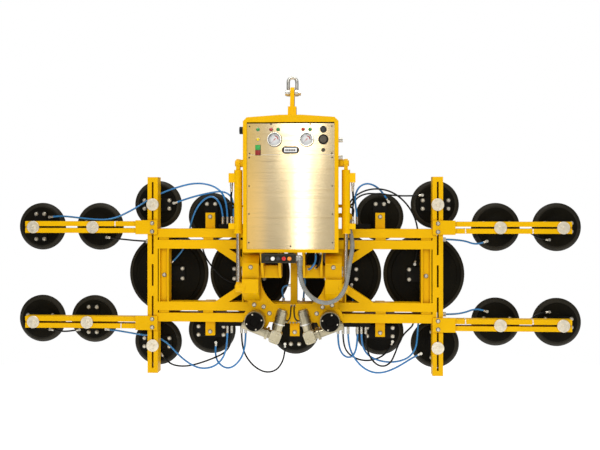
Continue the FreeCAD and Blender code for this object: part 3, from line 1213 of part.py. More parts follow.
def hang_pad(x, z, long, short, upright, support_y, clamp_y, bolt_sides=(-1, 1)):
    """Bridge plate with four bolts, stem up to the support, and a clamp disc where one shows."""
    wide = short if upright else long
    tall = long if upright else short
    plate = block((x - wide - BRIDGE_MARGIN, x + wide + BRIDGE_MARGIN), (bridge_front_y, boss_y),
                  (z - tall - BRIDGE_MARGIN, z + tall + BRIDGE_MARGIN))
    if support_y < bridge_front_y:
        plate = weld([plate, rod(Vector(x, support_y, z), Vector(x, bridge_front_y, z), STEM_RADIUS)])
    bridges.append(plate)
    for side_x in (-1, 1):
        for side_z in bolt_sides:
            bolts.append(bolt_with_washer(x + side_x * wide, bridge_front_y, z + side_z * tall))
    if clamp_y is not None:
        disc = rod(Vector(x, clamp_y, z), Vector(x, clamp_y - CLAMP_THICKNESS, z), CLAMP_RADIUS)
        head = hex_bolt(x, clamp_y - CLAMP_THICKNESS, z, WASHER_RADIUS, WASHER_RADIUS)
        stud = rod(Vector(x, clamp_y, z), Vector(x, support_y, z), STUD_RADIUS)
        clamps.append(weld([disc, head, stud]))


upright_arm_pads = (arm_pads[-1][0], arm_pads[-1][3])
for side in (-1, 1):
    for place in arm_pads[side]:
        upright = place in upright_arm_pads
        hang_pad(place[0], place[1], SMALL_BOLT_LONG, SMALL_BOLT_SHORT, upright, arm_back_y, frame_front_y)
for x, z in beam_pads:
    upright = x > 0 and z < turn_z
    hang_pad(x, z, SMALL_BOLT_LONG, SMALL_BOLT_SHORT, upright, frame_back_y, frame_front_y)
for x, z in rail_pads:
    above = z > turn_z
    upright = x == 0 or above
    shown = (-1, 1) if not upright else ((1,) if above else (-1,))
    hang_pad(x, z, SMALL_BOLT_LONG, SMALL_BOLT_SHORT, upright, bridge_front_y, None, shown)
    bolts.append(bolt_with_washer(x, frame_back_y, z))
for x, z in large_pads:
    hang_pad(x, z, LARGE_BOLT_LONG, LARGE_BOLT_SHORT, False, frame_back_y, None)
    bolts.append(bolt_with_washer(x, frame_front_y + UPRIGHT_RECESS, z))
for side in (-1, 1):
    for level in (-1, 1):
        for offset in (-1, 1):
            bolts.append(bolt_with_washer(side * BEAM_X, frame_front_y - ROOT_PLATE_THICKNESS,
                                          turn_z + level * ARM_Z + offset * SMALL_BOLT_SHORT))
write("pad_bridges", *bridges)
write("pad_bolts", *bolts)
write("pad_clamps", *clamps)

# Manifolds on the outer rails, with upright ports
rail_top = RAIL_OUTER_Z + RAIL_HEIGHT / 2
manifold_y = (frame_front_y + frame_back_y) / 2
manifold_range = (manifold_y - MANIFOLD_DEPTH / 2, manifold_y + MANIFOLD_DEPTH / 2)
port_level = rail_top + MANIFOLD_HEIGHT
hose_level = port_level + PORT_LENGTH
manifolds = []
for inner_x, side in ((MANIFOLD_UPPER_INNER_X, 1), (MANIFOLD_LOWER_INNER_X, -1)):
    bar = block((inner_x, MANIFOLD_OUTER_X), manifold_range,
                (turn_z + side * rail_top, turn_z + side * port_level))
    manifolds.extend(both_sides(bar))
write("manifolds", *manifolds)

# Hose routes, each point (x, y, height above the turning axis)
BLUE_ROUTES = {
    "upper left arm": ("elbow", "port", [
        (-1496, 241, 347), (-1440, 232, 352), (-1350, 190, 346), (-1235, 165, 333), (-1110, 165, 329),
        (-990, 195, 388), (-872, 226, 468), (-745, 222, 522), (-590, 205, 560), (-462, 190, 528),
        (-408, 176, 446), (-404, 173, 350)]),
    "upper left beam": ("elbow", "port", [
        (-722, 241, 438), (-680, 236, 452), (-615, 224, 472), (-520, 214, 494), (-440, 209, 506),
        (-382, 194, 478), (-366, 175, 414), (-366, 173, 350)]),
    "left large": ("elbow", "port", [
        (-747, 241, 78), (-712, 238, 112), (-672, 232, 170), (-648, 226, 245), (-632, 222, 320),
        (-600, 210, 400), (-545, 196, 462), (-484, 185, 476), (-438, 175, 412), (-432, 173, 350)]),
    "lower left arm": ("elbow", "port", [
        (-1143, 241, -347), (-1098, 238, -352), (-1030, 233, -362), (-945, 227, -374), (-850, 225, -382),
        (-778, 224, -424), (-718, 220, -488), (-652, 210, -540), (-575, 198, -574), (-492, 188, -562),
        (-432, 180, -510), (-406, 174, -430), (-404, 173, -350)]),
    "lower left rail": ("elbow", "port", [
        (-485, 241, -442), (-488, 234, -482), (-474, 222, -532), (-432, 206, -566), (-385, 188, -566),
        (-340, 170, -530), (-308, 158, -480), (-294, 168, -412), (-293, 173, -350)]),
    "upper right rail": ("port", "elbow", [
        (375, 173, 350), (368, 172, 412), (362, 170, 472), (384, 176, 528), (430, 190, 552),
        (480, 215, 540), (526, 241, 505), (556, 241, 458)]),
    "upper right arm": ("elbow", "beam", [
        (1135, 241, 196), (1105, 239, 186), (1068, 232, 188), (1026, 220, 204), (960, 206, 213),
        (905, 200, 215)]),
    "lower right arm": ("elbow", "beam", [
        (1135, 241, -214), (1105, 239, -206), (1068, 232, -208), (1026, 220, -222), (962, 206, -233),
        (905, 200, -232)]),
    "lower right loop": ("port", "port", [
        (262, 173, -350), (262, 172, -408), (282, 160, -466), (320, 148, -490), (358, 148, -474),
        (377, 164, -408), (378, 173, -350)]),
    "lower right beam": ("port", "elbow", [
        (322, 173, -350), (325, 172, -416), (352, 172, -484), (398, 180, -544), (460, 196, -584),
        (526, 210, -590), (592, 222, -570), (656, 232, -536), (708, 240, -504), (742, 241, -486)]),
    "lower right frame": ("port", "rail", [
        (402, 173, -350), (404, 180, -414), (432, 192, -474), (488, 206, -510), (556, 214, -526),
        (624, 216, -522), (688, 218, -498), (728, 222, -446), (738, 226, -388), (741, 226, -330),
        (745, 226, -284)]),
    "right large": ("elbow", "rail", [
        (345, 241, -84), (346, 238, -112), (350, 230, -140), (352, 226, -166)]),
    "centre left": ("post", "sill", [
        (-34, 155, -60), (-56, 156, -62), (-72, 158, -80), (-72, 162, -108), (-64, 166, -136)]),
    "centre right": ("post", "sill", [
        (34, 155, 0), (54, 156, -4), (66, 158, -24), (66, 162, -56), (58, 166, -96), (56, 168, -136)]),
}
BLACK_ROUTES = {
    "upper left arm": ("elbow", "beam", [
        (-1138, 241, 218), (-1098, 235, 213), (-1035, 222, 208), (-965, 207, 202), (-905, 200, 200)]),
    "upper left rail": ("elbow", "port", [
        (-440, 241, 342), (-440, 234, 386), (-420, 216, 426), (-378, 202, 438), (-336, 182, 404),
        (-323, 173, 350)]),
    "left large": ("rail", "elbow", [
        (-562, 226, 152), (-552, 226, 112), (-518, 228, 58), (-472, 232, 2), (-415, 238, -44),
        (-362, 241, -62)]),
    "lower left beam": ("elbow", "port", [
        (-808, 241, -509), (-782, 239, -542), (-735, 234, -564), (-662, 228, -566), (-585, 222, -546),
        (-505, 214, -516), (-428, 203, -480), (-382, 184, -420), (-378, 173, -350)]),
    "lower centre": ("port", "elbow", [
        (-318, 173, -350), (-317, 176, -412), (-298, 186, -488), (-248, 200, -556), (-182, 214, -596),
        (-116, 226, -588), (-76, 236, -538), (-62, 241, -478), (-61, 241, -447)]),
    "lower left arm": ("elbow", "elbow", [
        (-1493, 241, -352), (-1450, 239, -360), (-1400, 239, -360), (-1352, 241, -352)]),
    "upper right beam": ("port", "elbow", [
        (347, 173, 350), (347, 178, 408), (366, 194, 458), (424, 204, 490), (505, 206, 488),
        (592, 204, 478), (680, 224, 474), (748, 241, 478)]),
    "upper right large": ("port", "elbow", [
        (319, 173, 350), (320, 180, 408), (352, 204, 468), (428, 208, 512), (515, 206, 520),
        (596, 222, 496), (664, 234, 442), (712, 230, 374), (738, 226, 300), (744, 226, 220),
        (740, 232, 148), (728, 241, 84)]),
    "upper right arm": ("elbow", "arm", [
        (1503, 241, 215), (1472, 238, 219), (1436, 226, 236), (1402, 212, 258), (1372, 205, 268)]),
    "lower right arm": ("elbow", "arm", [
        (1503, 241, -222), (1472, 238, -226), (1436, 226, -243), (1402, 212, -266), (1372, 205, -277)]),
    "lower right rail": ("port", "elbow", [
        (292, 173, -350), (293, 180, -412), (322, 194, -474), (384, 210, -512), (455, 222, -520),
        (520, 232, -500), (566, 241, -462), (582, 241, -425)]),
    "lower right frame": ("port", "rail", [
        (428, 173, -350), (430, 174, -412), (446, 172, -478), (486, 172, -530), (534, 176, -546),
        (578, 184, -522), (604, 194, -466), (626, 204, -410), (654, 216, -358), (690, 224, -326),
        (711, 226, -306), (716, 226, -284)]),
}
# Supply hoses under the cabinet, heights above the tilt axis
SUPPLY_ROUTES = {
    "blue supply": [(137, -100, 108), (139, -104, 78), (130, -105, 50), (112, -96, 28), (99, -73, 17),
                    (96, -49, 16)],
    "black supply": [(168, -160, 108), (167, -160, 80), (160, -140, 54), (149, -108, 36), (139, -78, 26),
                     (136, -49, 24)],
}
# Hydraulic lines of the right cylinder, heights above its upper pin
LINE_ROUTES = {
    "upper line": [(347, -60, -162), (350, -57, -194), (352, -36, -222), (342, -10, -238), (315, 0, -244),
                   (285, 0, -244)],
    "lower line": [(347, -60, -303), (350, -58, -281), (352, -46, -262), (340, -30, -250), (314, -26, -245),
                   (285, -26, -245)],
}
# Pendant conduit, heights above the tilt axis
CONDUIT_ROUTE = [(51, -181, 49), (51, -181, 0), (62, -178, -48), (82, -171, -94), (117, -162, -132),
                 (160, -153, -158), (208, -145, -165), (254, -137, -149), (288, -130, -114),
                 (308, -124, -68),
                 (318, -120, -18), (325, -115, 32), (334, -104, 80), (342, -82, 124), (345, -52, 163),
                 (339, -24, 205), (328, -6, 251), (328, -6, 300)]

fittings = []


def lifted(points, level):
    return [(x, y, z + level) for x, y, z in points]


def end_fitting(kind, end, before):
    """The fitting that a hose end meets, built from the end point and the direction of its last run."""
    heading = end - before
    heading.y = 0
    if heading.Length > 0:
        heading.normalize()
    if kind == "elbow":
        corner = end + heading * ELBOW_LENGTH
        nipple = rod(end, corner, NIPPLE_RADIUS)
        stem = rod(Vector(corner.x, end.y - ELBOW_RADIUS, corner.z),
                   Vector(corner.x, pad_back_y, corner.z), ELBOW_RADIUS)
        return weld([nipple, stem])
    side_z = 1 if end.z > turn_z else -1
    if kind == "port":
        return rod(Vector(end.x, end.y, turn_z + side_z * port_level),
                   Vector(end.x, end.y, turn_z + side_z * hose_level),
                   PORT_RADIUS)
    half_tee = TEE_SIZE / 2
    if kind == "beam":
        side_x = 1 if end.x > 0 else -1
        return block((side_x * beam_outer_x, end.x), (end.y - half_tee, end.y + half_tee),
                     (end.z - half_tee, end.z + half_tee))
    if kind == "arm":
        return block((end.x, end.x - TEE_SIZE), (arm_back_y, end.y + half_tee),
                     (end.z - half_tee, end.z + half_tee))
    if kind == "rail":
        top = TEE_SIZE if before.z < end.z else -TEE_SIZE
        return block((end.x - half_tee, end.x + half_tee), (frame_back_y, end.y + half_tee),
                     (end.z, end.z + top))
    if kind == "post":
        side_x = 1 if end.x > 0 else -1
        return rod(Vector(side_x * POST_WIDTH / 2, end.y, end.z), end, PORT_RADIUS)
    return rod(Vector(end.x, end.y, turn_z - inner_edge), end, PORT_RADIUS)


def lay_hoses(routes, radius, colour):
    tubes = []
    for name, (start_kind, end_kind, points) in routes.items():
        route = lifted(points, turn_z)
        tubes.append(hose(colour + " " + name, route, radius))
        for kind, end, before in ((start_kind, route[0], route[1]), (end_kind, route[-1], route[-2])):
            fitting = end_fitting(kind, Vector(*end), Vector(*before)).cut(tubes[-1])
            for one_pad in all_pads:
                if one_pad.BoundBox.intersect(fitting.BoundBox):
                    fitting = fitting.cut(one_pad)
            fittings.append(fitting)
    return tubes


write("blue_hoses", *lay_hoses(BLUE_ROUTES, BLUE_HOSE_RADIUS, "blue"))
write("black_hoses", *lay_hoses(BLACK_ROUTES, BLACK_HOSE_RADIUS, "black"))
write("hose_fittings", *fittings)

# Supply hoses with their fittings under the bail and on the hinge blocks
supply = []
for name, points in SUPPLY_ROUTES.items():
    route = lifted(points, tilt_z)
    supply.append(hose(name, route, BLUE_HOSE_RADIUS))
    first = Vector(*route[0])
    last = Vector(*route[-1])
    tube = supply[-1]
    supply.append(rod(Vector(first.x, first.y, bail_bottom_z), first, PORT_RADIUS).cut(tube))
    supply.append(rod(Vector(last.x, -hinge_half, last.z), last, PORT_RADIUS).cut(tube))
write("supply_hoses", *supply)

# Hydraulic lines with the fittings at the cylinder ports
lines = []
for name, points in LINE_ROUTES.items():
    route = lifted(points, top_pin_z)
    lines.append(hose(name, route, LINE_HOSE_RADIUS))
port_ends = [(upper_port_low_z, upper_port_low_z - UPPER_FITTING_LENGTH),
             (lower_port_top_z, lower_port_top_z + LOWER_FITTING_LENGTH)]
for level, end_level in port_ends:
    line_fitting = rod(at_cylinder(level, port_x), at_cylinder(end_level, port_x), LINE_FITTING_RADIUS)
    lines.append(line_fitting.cut(lines[0]).cut(lines[1]))
write("hydraulic_lines_right", *lines)
write("hydraulic_lines_left", *[mirrored(piece) for piece in lines])

# Motor cables from glands on the sill of the yoke
cable_points = lifted(CABLE_ROUTE, turn_z)
cable = hose("motor cable", cable_points, CABLE_RADIUS)
cable_start = Vector(*cable_points[0])
cable_gland = rod(Vector(cable_start.x, YOKE_PLATE_FRONT, cable_start.z), cable_start,
                  CABLE_GLAND_RADIUS).cut(cable)
write("motor_cables", *(both_sides(cable) + both_sides(cable_gland)))

# Pendant conduit
write("pendant_conduit", ribbed_hose("conduit", lifted(CONDUIT_ROUTE, tilt_z), CONDUIT_RIBS))
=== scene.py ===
import math

import bmesh
import bpy
from mathutils import Matrix, Vector


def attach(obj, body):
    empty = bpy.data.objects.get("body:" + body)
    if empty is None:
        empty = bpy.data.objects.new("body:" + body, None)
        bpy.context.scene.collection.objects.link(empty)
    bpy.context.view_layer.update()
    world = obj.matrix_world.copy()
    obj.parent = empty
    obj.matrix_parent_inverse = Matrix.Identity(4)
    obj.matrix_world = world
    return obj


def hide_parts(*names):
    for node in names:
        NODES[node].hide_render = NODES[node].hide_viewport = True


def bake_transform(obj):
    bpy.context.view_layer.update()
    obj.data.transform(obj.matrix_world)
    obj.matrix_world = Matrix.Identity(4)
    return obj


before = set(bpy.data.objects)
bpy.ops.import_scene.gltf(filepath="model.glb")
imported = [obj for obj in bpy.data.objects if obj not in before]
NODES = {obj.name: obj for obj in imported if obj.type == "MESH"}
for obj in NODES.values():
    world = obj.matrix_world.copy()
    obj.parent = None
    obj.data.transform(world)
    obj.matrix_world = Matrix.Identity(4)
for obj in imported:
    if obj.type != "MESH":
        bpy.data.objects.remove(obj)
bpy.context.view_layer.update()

MM = 0.001
TURN_Z = -1.148
TILT_Z = -1.110
TOP_PIN_Z = -0.488

# Camera at the photograph's place
CAMERA_PLACE = (0.28124, -4.64142, -0.70046)
CAMERA_TURN = math.radians(2.9376)
CAMERA_LENS = 48.217
CAMERA_SENSOR = 36.0
CAMERA_SHIFT = -0.04085


def make_camera():
    data = bpy.data.cameras.new("photo_camera")
    data.sensor_fit = "HORIZONTAL"
    data.sensor_width = CAMERA_SENSOR
    data.lens = CAMERA_LENS
    data.shift_y = CAMERA_SHIFT
    camera = bpy.data.objects.new("photo_camera", data)
    bpy.context.scene.collection.objects.link(camera)
    camera.location = CAMERA_PLACE
    camera.rotation_euler = (math.pi / 2, 0.0, CAMERA_TURN)
    bpy.context.scene.camera = camera


make_camera()


# Finishes

def new_finish(name):
    material = bpy.data.materials.new(name)
    material.use_nodes = True
    tree = material.node_tree
    return material, tree, tree.nodes["Principled BSDF"]


def place_nodes(tree, stretch=(1.0, 1.0, 1.0)):
    """Object coordinates, stretched for a grain."""
    coords = tree.nodes.new("ShaderNodeTexCoord")
    mapping = tree.nodes.new("ShaderNodeMapping")
    mapping.inputs["Scale"].default_value = stretch
    tree.links.new(coords.outputs["Object"], mapping.inputs["Vector"])
    return mapping.outputs["Vector"]


def noise(tree, place, scale, detail=4.0, rough=0.55):
    node = tree.nodes.new("ShaderNodeTexNoise")
    node.inputs["Scale"].default_value = scale
    node.inputs["Detail"].default_value = detail
    node.inputs["Roughness"].default_value = rough
    tree.links.new(place, node.inputs["Vector"])
    return node.outputs["Fac"]


def spread(tree, value, low, high, from_low=0.3, from_high=0.7):
    node = tree.nodes.new("ShaderNodeMapRange")
    node.inputs["From Min"].default_value = from_low
    node.inputs["From Max"].default_value = from_high
    node.inputs["To Min"].default_value = low
    node.inputs["To Max"].default_value = high
    tree.links.new(value, node.inputs["Value"])
    return node.outputs["Result"]


def tint(tree, share, first, second):
    """Mixes two colours by a share; each colour is a tuple or a node output."""
    node = tree.nodes.new("ShaderNodeMix")
    node.data_type = "RGBA"
    tree.links.new(share, node.inputs["Factor"])
    for socket, colour in ((node.inputs[6], first), (node.inputs[7], second)):
        if isinstance(colour, tuple):
            socket.default_value = (*colour, 1.0)
        else:
            tree.links.new(colour, socket)
    return node.outputs[2]


def bumped(tree, shader, height, strength, depth):
    node = tree.nodes.new("ShaderNodeBump")
    node.inputs["Strength"].default_value = strength
    node.inputs["Distance"].default_value = depth
    tree.links.new(height, node.inputs["Height"])
    tree.links.new(node.outputs["Normal"], shader.inputs["Normal"])


# Reach of the painted shade in creases and corners
PAINTED_SHADE_REACH = 0.03


def finish(name, dark, light, metallic=0.0, rough=(0.35, 0.5), tone_scale=6.0, rough_scale=30.0,
           grain_scale=500.0, grain=0.15, depth=0.0005, stretch=(1.0, 1.0, 1.0), coat=0.0, coat_rough=0.2,
           worn=None, worn_from=0.62, specular=0.5, painted_crease_shade=None):
    """A finish with clouded colour, uneven gloss, a fine grain, worn spots where asked, and painted shade that darkens
    the creases where asked.
    """
    material, tree, shader = new_finish(name)
    place = place_nodes(tree, stretch)
    plain = place_nodes(tree)
    colour = tint(tree, spread(tree, noise(tree, plain, tone_scale), 0.0, 1.0), dark, light)
    if worn:
        spots = spread(tree, noise(tree, plain, tone_scale * 7.0, 8.0, 0.7), 0.0, 1.0, worn_from, worn_from + 0.12)
        colour = tint(tree, spots, colour, worn)
    # Painted shade: ambient occlusion darkens the colour in creases and corners.
    if painted_crease_shade:
        corners = tree.nodes.new("ShaderNodeAmbientOcclusion")
        corners.samples = 6
        corners.inputs["Distance"].default_value = PAINTED_SHADE_REACH
        colour = tint(tree, spread(tree, corners.outputs["AO"], 0.0, 1.0, 0.25, 0.8), painted_crease_shade, colour)
    tree.links.new(colour, shader.inputs["Base Color"])
    tree.links.new(spread(tree, noise(tree, place, rough_scale), *rough), shader.inputs["Roughness"])
    bumped(tree, shader, noise(tree, place, grain_scale, 3.0), grain, depth)
    shader.inputs["Metallic"].default_value = metallic
    shader.inputs["Specular IOR Level"].default_value = specular
    shader.inputs["Coat Weight"].default_value = coat
    shader.inputs["Coat Roughness"].default_value = coat_rough
    return material


YELLOW = finish("yellow_paint", (0.74, 0.405, 0.0004), (0.83, 0.46, 0.0008), rough=(0.30, 0.44), tone_scale=3.0,
                grain_scale=700.0, grain=0.12, worn=(0.58, 0.30, 0.0006), worn_from=0.66, specular=0.09,
                painted_crease_shade=(0.44, 0.19, 0.0003))
# A lighter copy of the yellow paint for the cylinders: painted light that makes up for the shade falling on them.
CYLINDER_YELLOW_PAINTED_LIGHT = finish("cylinder_yellow_painted_light", (0.86, 0.49, 0.0004), (0.94, 0.54, 0.0008), rough=(0.26, 0.38), tone_scale=3.0,
                         grain_scale=700.0, grain=0.08, specular=0.11, painted_crease_shade=(0.50, 0.22, 0.0003))


def part_of(tree, vector, axis):
    node = tree.nodes.new("ShaderNodeSeparateXYZ")
    tree.links.new(vector, node.inputs["Vector"])
    return node.outputs[axis]


def brushed_finish():
    """Sheet steel brushed from side to side: the grain draws every reflection into an upright band."""
    material, tree, shader = new_finish("brushed_stainless")
    plain = place_nodes(tree)
    grain = place_nodes(tree, (2.0, 8.0, 70.0))
    lines = place_nodes(tree, (5.0, 10.0, 210.0))
    colour = tint(tree, spread(tree, noise(tree, plain, 2.5), 0.0, 1.0), (0.70, 0.555, 0.325), (0.79, 0.63, 0.38))
    streaks = spread(tree, noise(tree, grain, 1.0, 5.0, 0.6), 0.0, 0.55, 0.50, 0.68)
    colour = tint(tree, streaks, colour, (0.56, 0.42, 0.22))
    scratches = spread(tree, noise(tree, lines, 1.0, 2.0), 0.0, 0.5, 0.60, 0.72)
    colour = tint(tree, scratches, colour, (0.46, 0.34, 0.18))
    # Painted reflection: a golden tint towards the panel's left edge stands in for a reflection of yellow.
    painted_reflection_share = spread(tree, part_of(tree, plain, "X"), 0.8, 0.0, -0.235, -0.120)
    colour = tint(tree, painted_reflection_share, colour, (0.80, 0.55, 0.16))
    tree.links.new(colour, shader.inputs["Base Color"])
    tree.links.new(spread(tree, noise(tree, grain, 1.0), 0.12, 0.16), shader.inputs["Roughness"])
    bumped(tree, shader, noise(tree, lines, 1.0, 3.0), 0.012, 0.0003)
    shader.inputs["Metallic"].default_value = 1.0
    tangent = tree.nodes.new("ShaderNodeTangent")
    tangent.direction_type = "RADIAL"
    tangent.axis = "Z"
    tree.links.new(tangent.outputs["Tangent"], shader.inputs["Tangent"])
    shader.inputs["Anisotropic"].default_value = 0.92
    shader.inputs["Anisotropic Rotation"].default_value = 0.25
    return material


BRUSHED = brushed_finish()
STAINLESS = finish("folded_stainless", (0.52, 0.50, 0.46), (0.62, 0.60, 0.56), metallic=1.0, rough=(0.32, 0.45),
                   grain_scale=8.0, grain=0.2, stretch=(1.0, 1.0, 90.0))
ZINC = finish("zinc_plate", (0.55, 0.53, 0.47), (0.74, 0.72, 0.65), metallic=1.0, rough=(0.28, 0.46),
              tone_scale=40.0, rough_scale=90.0, grain_scale=900.0, grain=0.12, worn=(0.38, 0.36, 0.31))
CHROME_DARK = (0.64, 0.58, 0.49)
CHROME_LIGHT = (0.76, 0.70, 0.61)
GEAR_STEEL = finish("oiled_gear_steel", (0.20, 0.19, 0.17), (0.32, 0.30, 0.27), metallic=1.0, rough=(0.25, 0.5),
                    tone_scale=20.0, grain_scale=300.0, grain=0.2, worn=(0.09, 0.08, 0.06))
CAST = finish("cast_aluminium", (0.34, 0.30, 0.20), (0.50, 0.445, 0.315), metallic=1.0, rough=(0.24, 0.42),
              tone_scale=18.0, grain_scale=420.0, grain=0.14, depth=0.0004, painted_crease_shade=(0.10, 0.085, 0.05))
BLACK_STEEL = finish("black_steel", (0.0022, 0.0020, 0.0014), (0.0058, 0.0052, 0.0038), rough=(0.44, 0.64),
                     tone_scale=12.0, grain_scale=600.0, grain=0.25, worn=(0.016, 0.0145, 0.011), worn_from=0.70,
                     specular=0.12)
COVER_BLACK = finish("cover_black", (0.0022, 0.0018, 0.0012), (0.005, 0.0042, 0.003), rough=(0.32, 0.5),
                     tone_scale=15.0, grain_scale=350.0, grain=0.3, specular=0.06)
RUBBER = finish("pad_rubber", (0.0024, 0.0019, 0.0008), (0.0075, 0.0062, 0.003), rough=(0.42, 0.62), tone_scale=7.0,
                rough_scale=14.0, grain_scale=380.0, grain=0.25, worn=(0.017, 0.0145, 0.008), worn_from=0.62,
                specular=0.07)
# Lighter rubber for the pad skirts: partly a lighter, dusty lip and partly a painted highlight where light catches the
# rim.
SKIRT_DUST_AND_HIGHLIGHT = finish("skirt_dust_and_painted_highlight", (0.011, 0.0090, 0.0048), (0.023, 0.0195, 0.0115), rough=(0.48, 0.66), tone_scale=5.0,
                      rough_scale=14.0, grain_scale=380.0, grain=0.25, worn=(0.040, 0.035, 0.024), worn_from=0.60,
                      specular=0.2)
NICKEL = finish("nickel_plate", (0.60, 0.56, 0.47), (0.80, 0.76, 0.66), metallic=1.0, rough=(0.16, 0.32),
                tone_scale=60.0, grain_scale=800.0, grain=0.08)
BLUE_HOSE = finish("blue_hose", (0.014, 0.145, 0.38), (0.027, 0.21, 0.50), rough=(0.22, 0.38), tone_scale=14.0,
                   grain_scale=500.0, grain=0.08, coat=0.3)
BLACK_HOSE = finish("black_hose", (0.004, 0.004, 0.0038), (0.009, 0.009, 0.0085), rough=(0.30, 0.48), tone_scale=14.0,
                    grain_scale=500.0, grain=0.1, specular=0.15)
CONDUIT = finish("conduit_grey", (0.19, 0.193, 0.175), (0.28, 0.284, 0.26), rough=(0.40, 0.6), tone_scale=25.0,
                 grain_scale=600.0, grain=0.1)


def two_finishes(name, axis, edge, first, second, grain=0.15, specular=0.2, blotch=0.06):
    """Two finishes on one part, parted at a place along an axis: (dark, light, metallic, roughness) below and above."""
    material, tree, shader = new_finish(name)
    place = place_nodes(tree)
    split = tree.nodes.new("ShaderNodeSeparateXYZ")
    tree.links.new(place, split.inputs["Vector"])
    above = spread(tree, split.outputs[axis], 0.0, 1.0, edge - 0.0005, edge + 0.0005)
    cloud = spread(tree, noise(tree, place, 30.0), 0.0, 1.0)
    colour = tint(tree, above, tint(tree, cloud, first[0], first[1]), tint(tree, cloud, second[0], second[1]))
    tree.links.new(colour, shader.inputs["Base Color"])
    tree.links.new(spread(tree, above, first[2], second[2], 0.0, 1.0), shader.inputs["Metallic"])
    uneven = spread(tree, noise(tree, place, 90.0), -blotch, blotch)
    gloss = tree.nodes.new("ShaderNodeMath")
    tree.links.new(uneven, gloss.inputs[0])
    tree.links.new(spread(tree, above, first[3], second[3], 0.0, 1.0), gloss.inputs[1])
    tree.links.new(gloss.outputs["Value"], shader.inputs["Roughness"])
    bumped(tree, shader, noise(tree, place, 700.0, 3.0), grain, 0.0004)
    shader.inputs["Specular IOR Level"].default_value = specular
    return material


PENDANT = two_finishes("pendant_grey", "X", 0.0312, ((0.014, 0.0128, 0.0075), (0.026, 0.024, 0.015), 0.0, 0.5),
                       ((0.30, 0.29, 0.26), (0.42, 0.41, 0.37), 0.6, 0.35))
GAUGE_CASE = finish("gauge_case", (0.70, 0.66, 0.56), (0.82, 0.78, 0.69), metallic=0.8, rough=(0.12, 0.24),
                    tone_scale=50.0, grain_scale=500.0, grain=0.05)
NEEDLE = finish("needle_red", (0.45, 0.02, 0.015), (0.55, 0.03, 0.02), rough=(0.3, 0.45), tone_scale=80.0)
INSTRUMENT = two_finishes("instrument_black", "X", 0.262, ((0.005, 0.005, 0.0045), (0.012, 0.011, 0.010), 0.0, 0.42),
                          ((0.48, 0.46, 0.40), (0.66, 0.63, 0.56), 1.0, 0.28))
ROD = two_finishes("hard_chrome", "Z", -1.166, ((0.74, 0.405, 0.0004), (0.83, 0.46, 0.0008), 0.0, 0.4),
                   (CHROME_DARK, CHROME_LIGHT, 1.0, 0.22), 0.02, 0.11, 0.012)
CLAMP_STEEL = finish("clamp_steel", (0.74, 0.66, 0.50), (0.90, 0.82, 0.66), metallic=0.55, rough=(0.30, 0.44),
                     tone_scale=60.0, rough_scale=140.0, grain_scale=700.0, grain=0.25, worn=(0.42, 0.37, 0.29))
TIE_WHITE = finish("tie_white", (0.80, 0.79, 0.75), (0.90, 0.89, 0.86), rough=(0.35, 0.5), tone_scale=60.0,
                   grain_scale=900.0, grain=0.1)
DIAL_WHITE = finish("dial_white", (0.80, 0.81, 0.80), (0.90, 0.90, 0.88), rough=(0.3, 0.45), tone_scale=40.0,
                    grain_scale=900.0, grain=0.05)
METER_GREY = finish("meter_grey", (0.085, 0.072, 0.052), (0.15, 0.128, 0.095), metallic=0.4, rough=(0.35, 0.5),
                    tone_scale=90.0, grain_scale=900.0, grain=0.1)


BOLT_HEAD = finish("bolt_head", (0.62, 0.57, 0.46), (0.80, 0.74, 0.62), metallic=0.85, rough=(0.22, 0.36), tone_scale=70.0,
                   rough_scale=160.0, grain_scale=900.0, grain=0.1)
# Darker zinc for the washers: painted shade round each bolt head.
WASHER_PAINTED_SHADE = finish("washer_painted_shade", (0.20, 0.18, 0.135), (0.33, 0.30, 0.235), metallic=1.0, rough=(0.30, 0.48),
                     tone_scale=70.0, rough_scale=160.0, grain_scale=900.0, grain=0.15)
SCREW_STEEL = finish("screw_steel", (0.10, 0.085, 0.055), (0.18, 0.155, 0.11), metallic=0.9, rough=(0.3, 0.45),
                     tone_scale=90.0, grain_scale=900.0, grain=0.1)


BEZEL_GREY = finish("bezel_grey", (0.11, 0.108, 0.095), (0.17, 0.165, 0.145), metallic=0.3, rough=(0.3, 0.45), tone_scale=80.0,
                    grain_scale=900.0, grain=0.1)


def button_finish(name, dark, light):
    return finish(name, dark, light, rough=(0.22, 0.38), tone_scale=60.0, grain_scale=900.0, grain=0.08, coat=0.1)


BUTTON_BLACK = button_finish("button_black", (0.010, 0.010, 0.010), (0.022, 0.022, 0.022))
BUTTON_WHITE = button_finish("button_white", (0.78, 0.77, 0.72), (0.86, 0.85, 0.80))
BUTTON_RED = button_finish("button_red", (0.56, 0.010, 0.006), (0.66, 0.016, 0.010))
STOP_RED = button_finish("stop_red", (0.20, 0.008, 0.005), (0.28, 0.012, 0.007))
BUTTON_ORANGE = button_finish("button_orange", (0.80, 0.20, 0.012), (0.90, 0.27, 0.02))
BUTTON_GREEN = button_finish("button_green", (0.02, 0.30, 0.05), (0.035, 0.40, 0.07))

# Drive motors: a grey can above a bright ring, and a cast head below it, along the leaning axis
MOTOR_LEAN = math.radians(15.0)
RING_START = -0.281
RING_END = -0.273


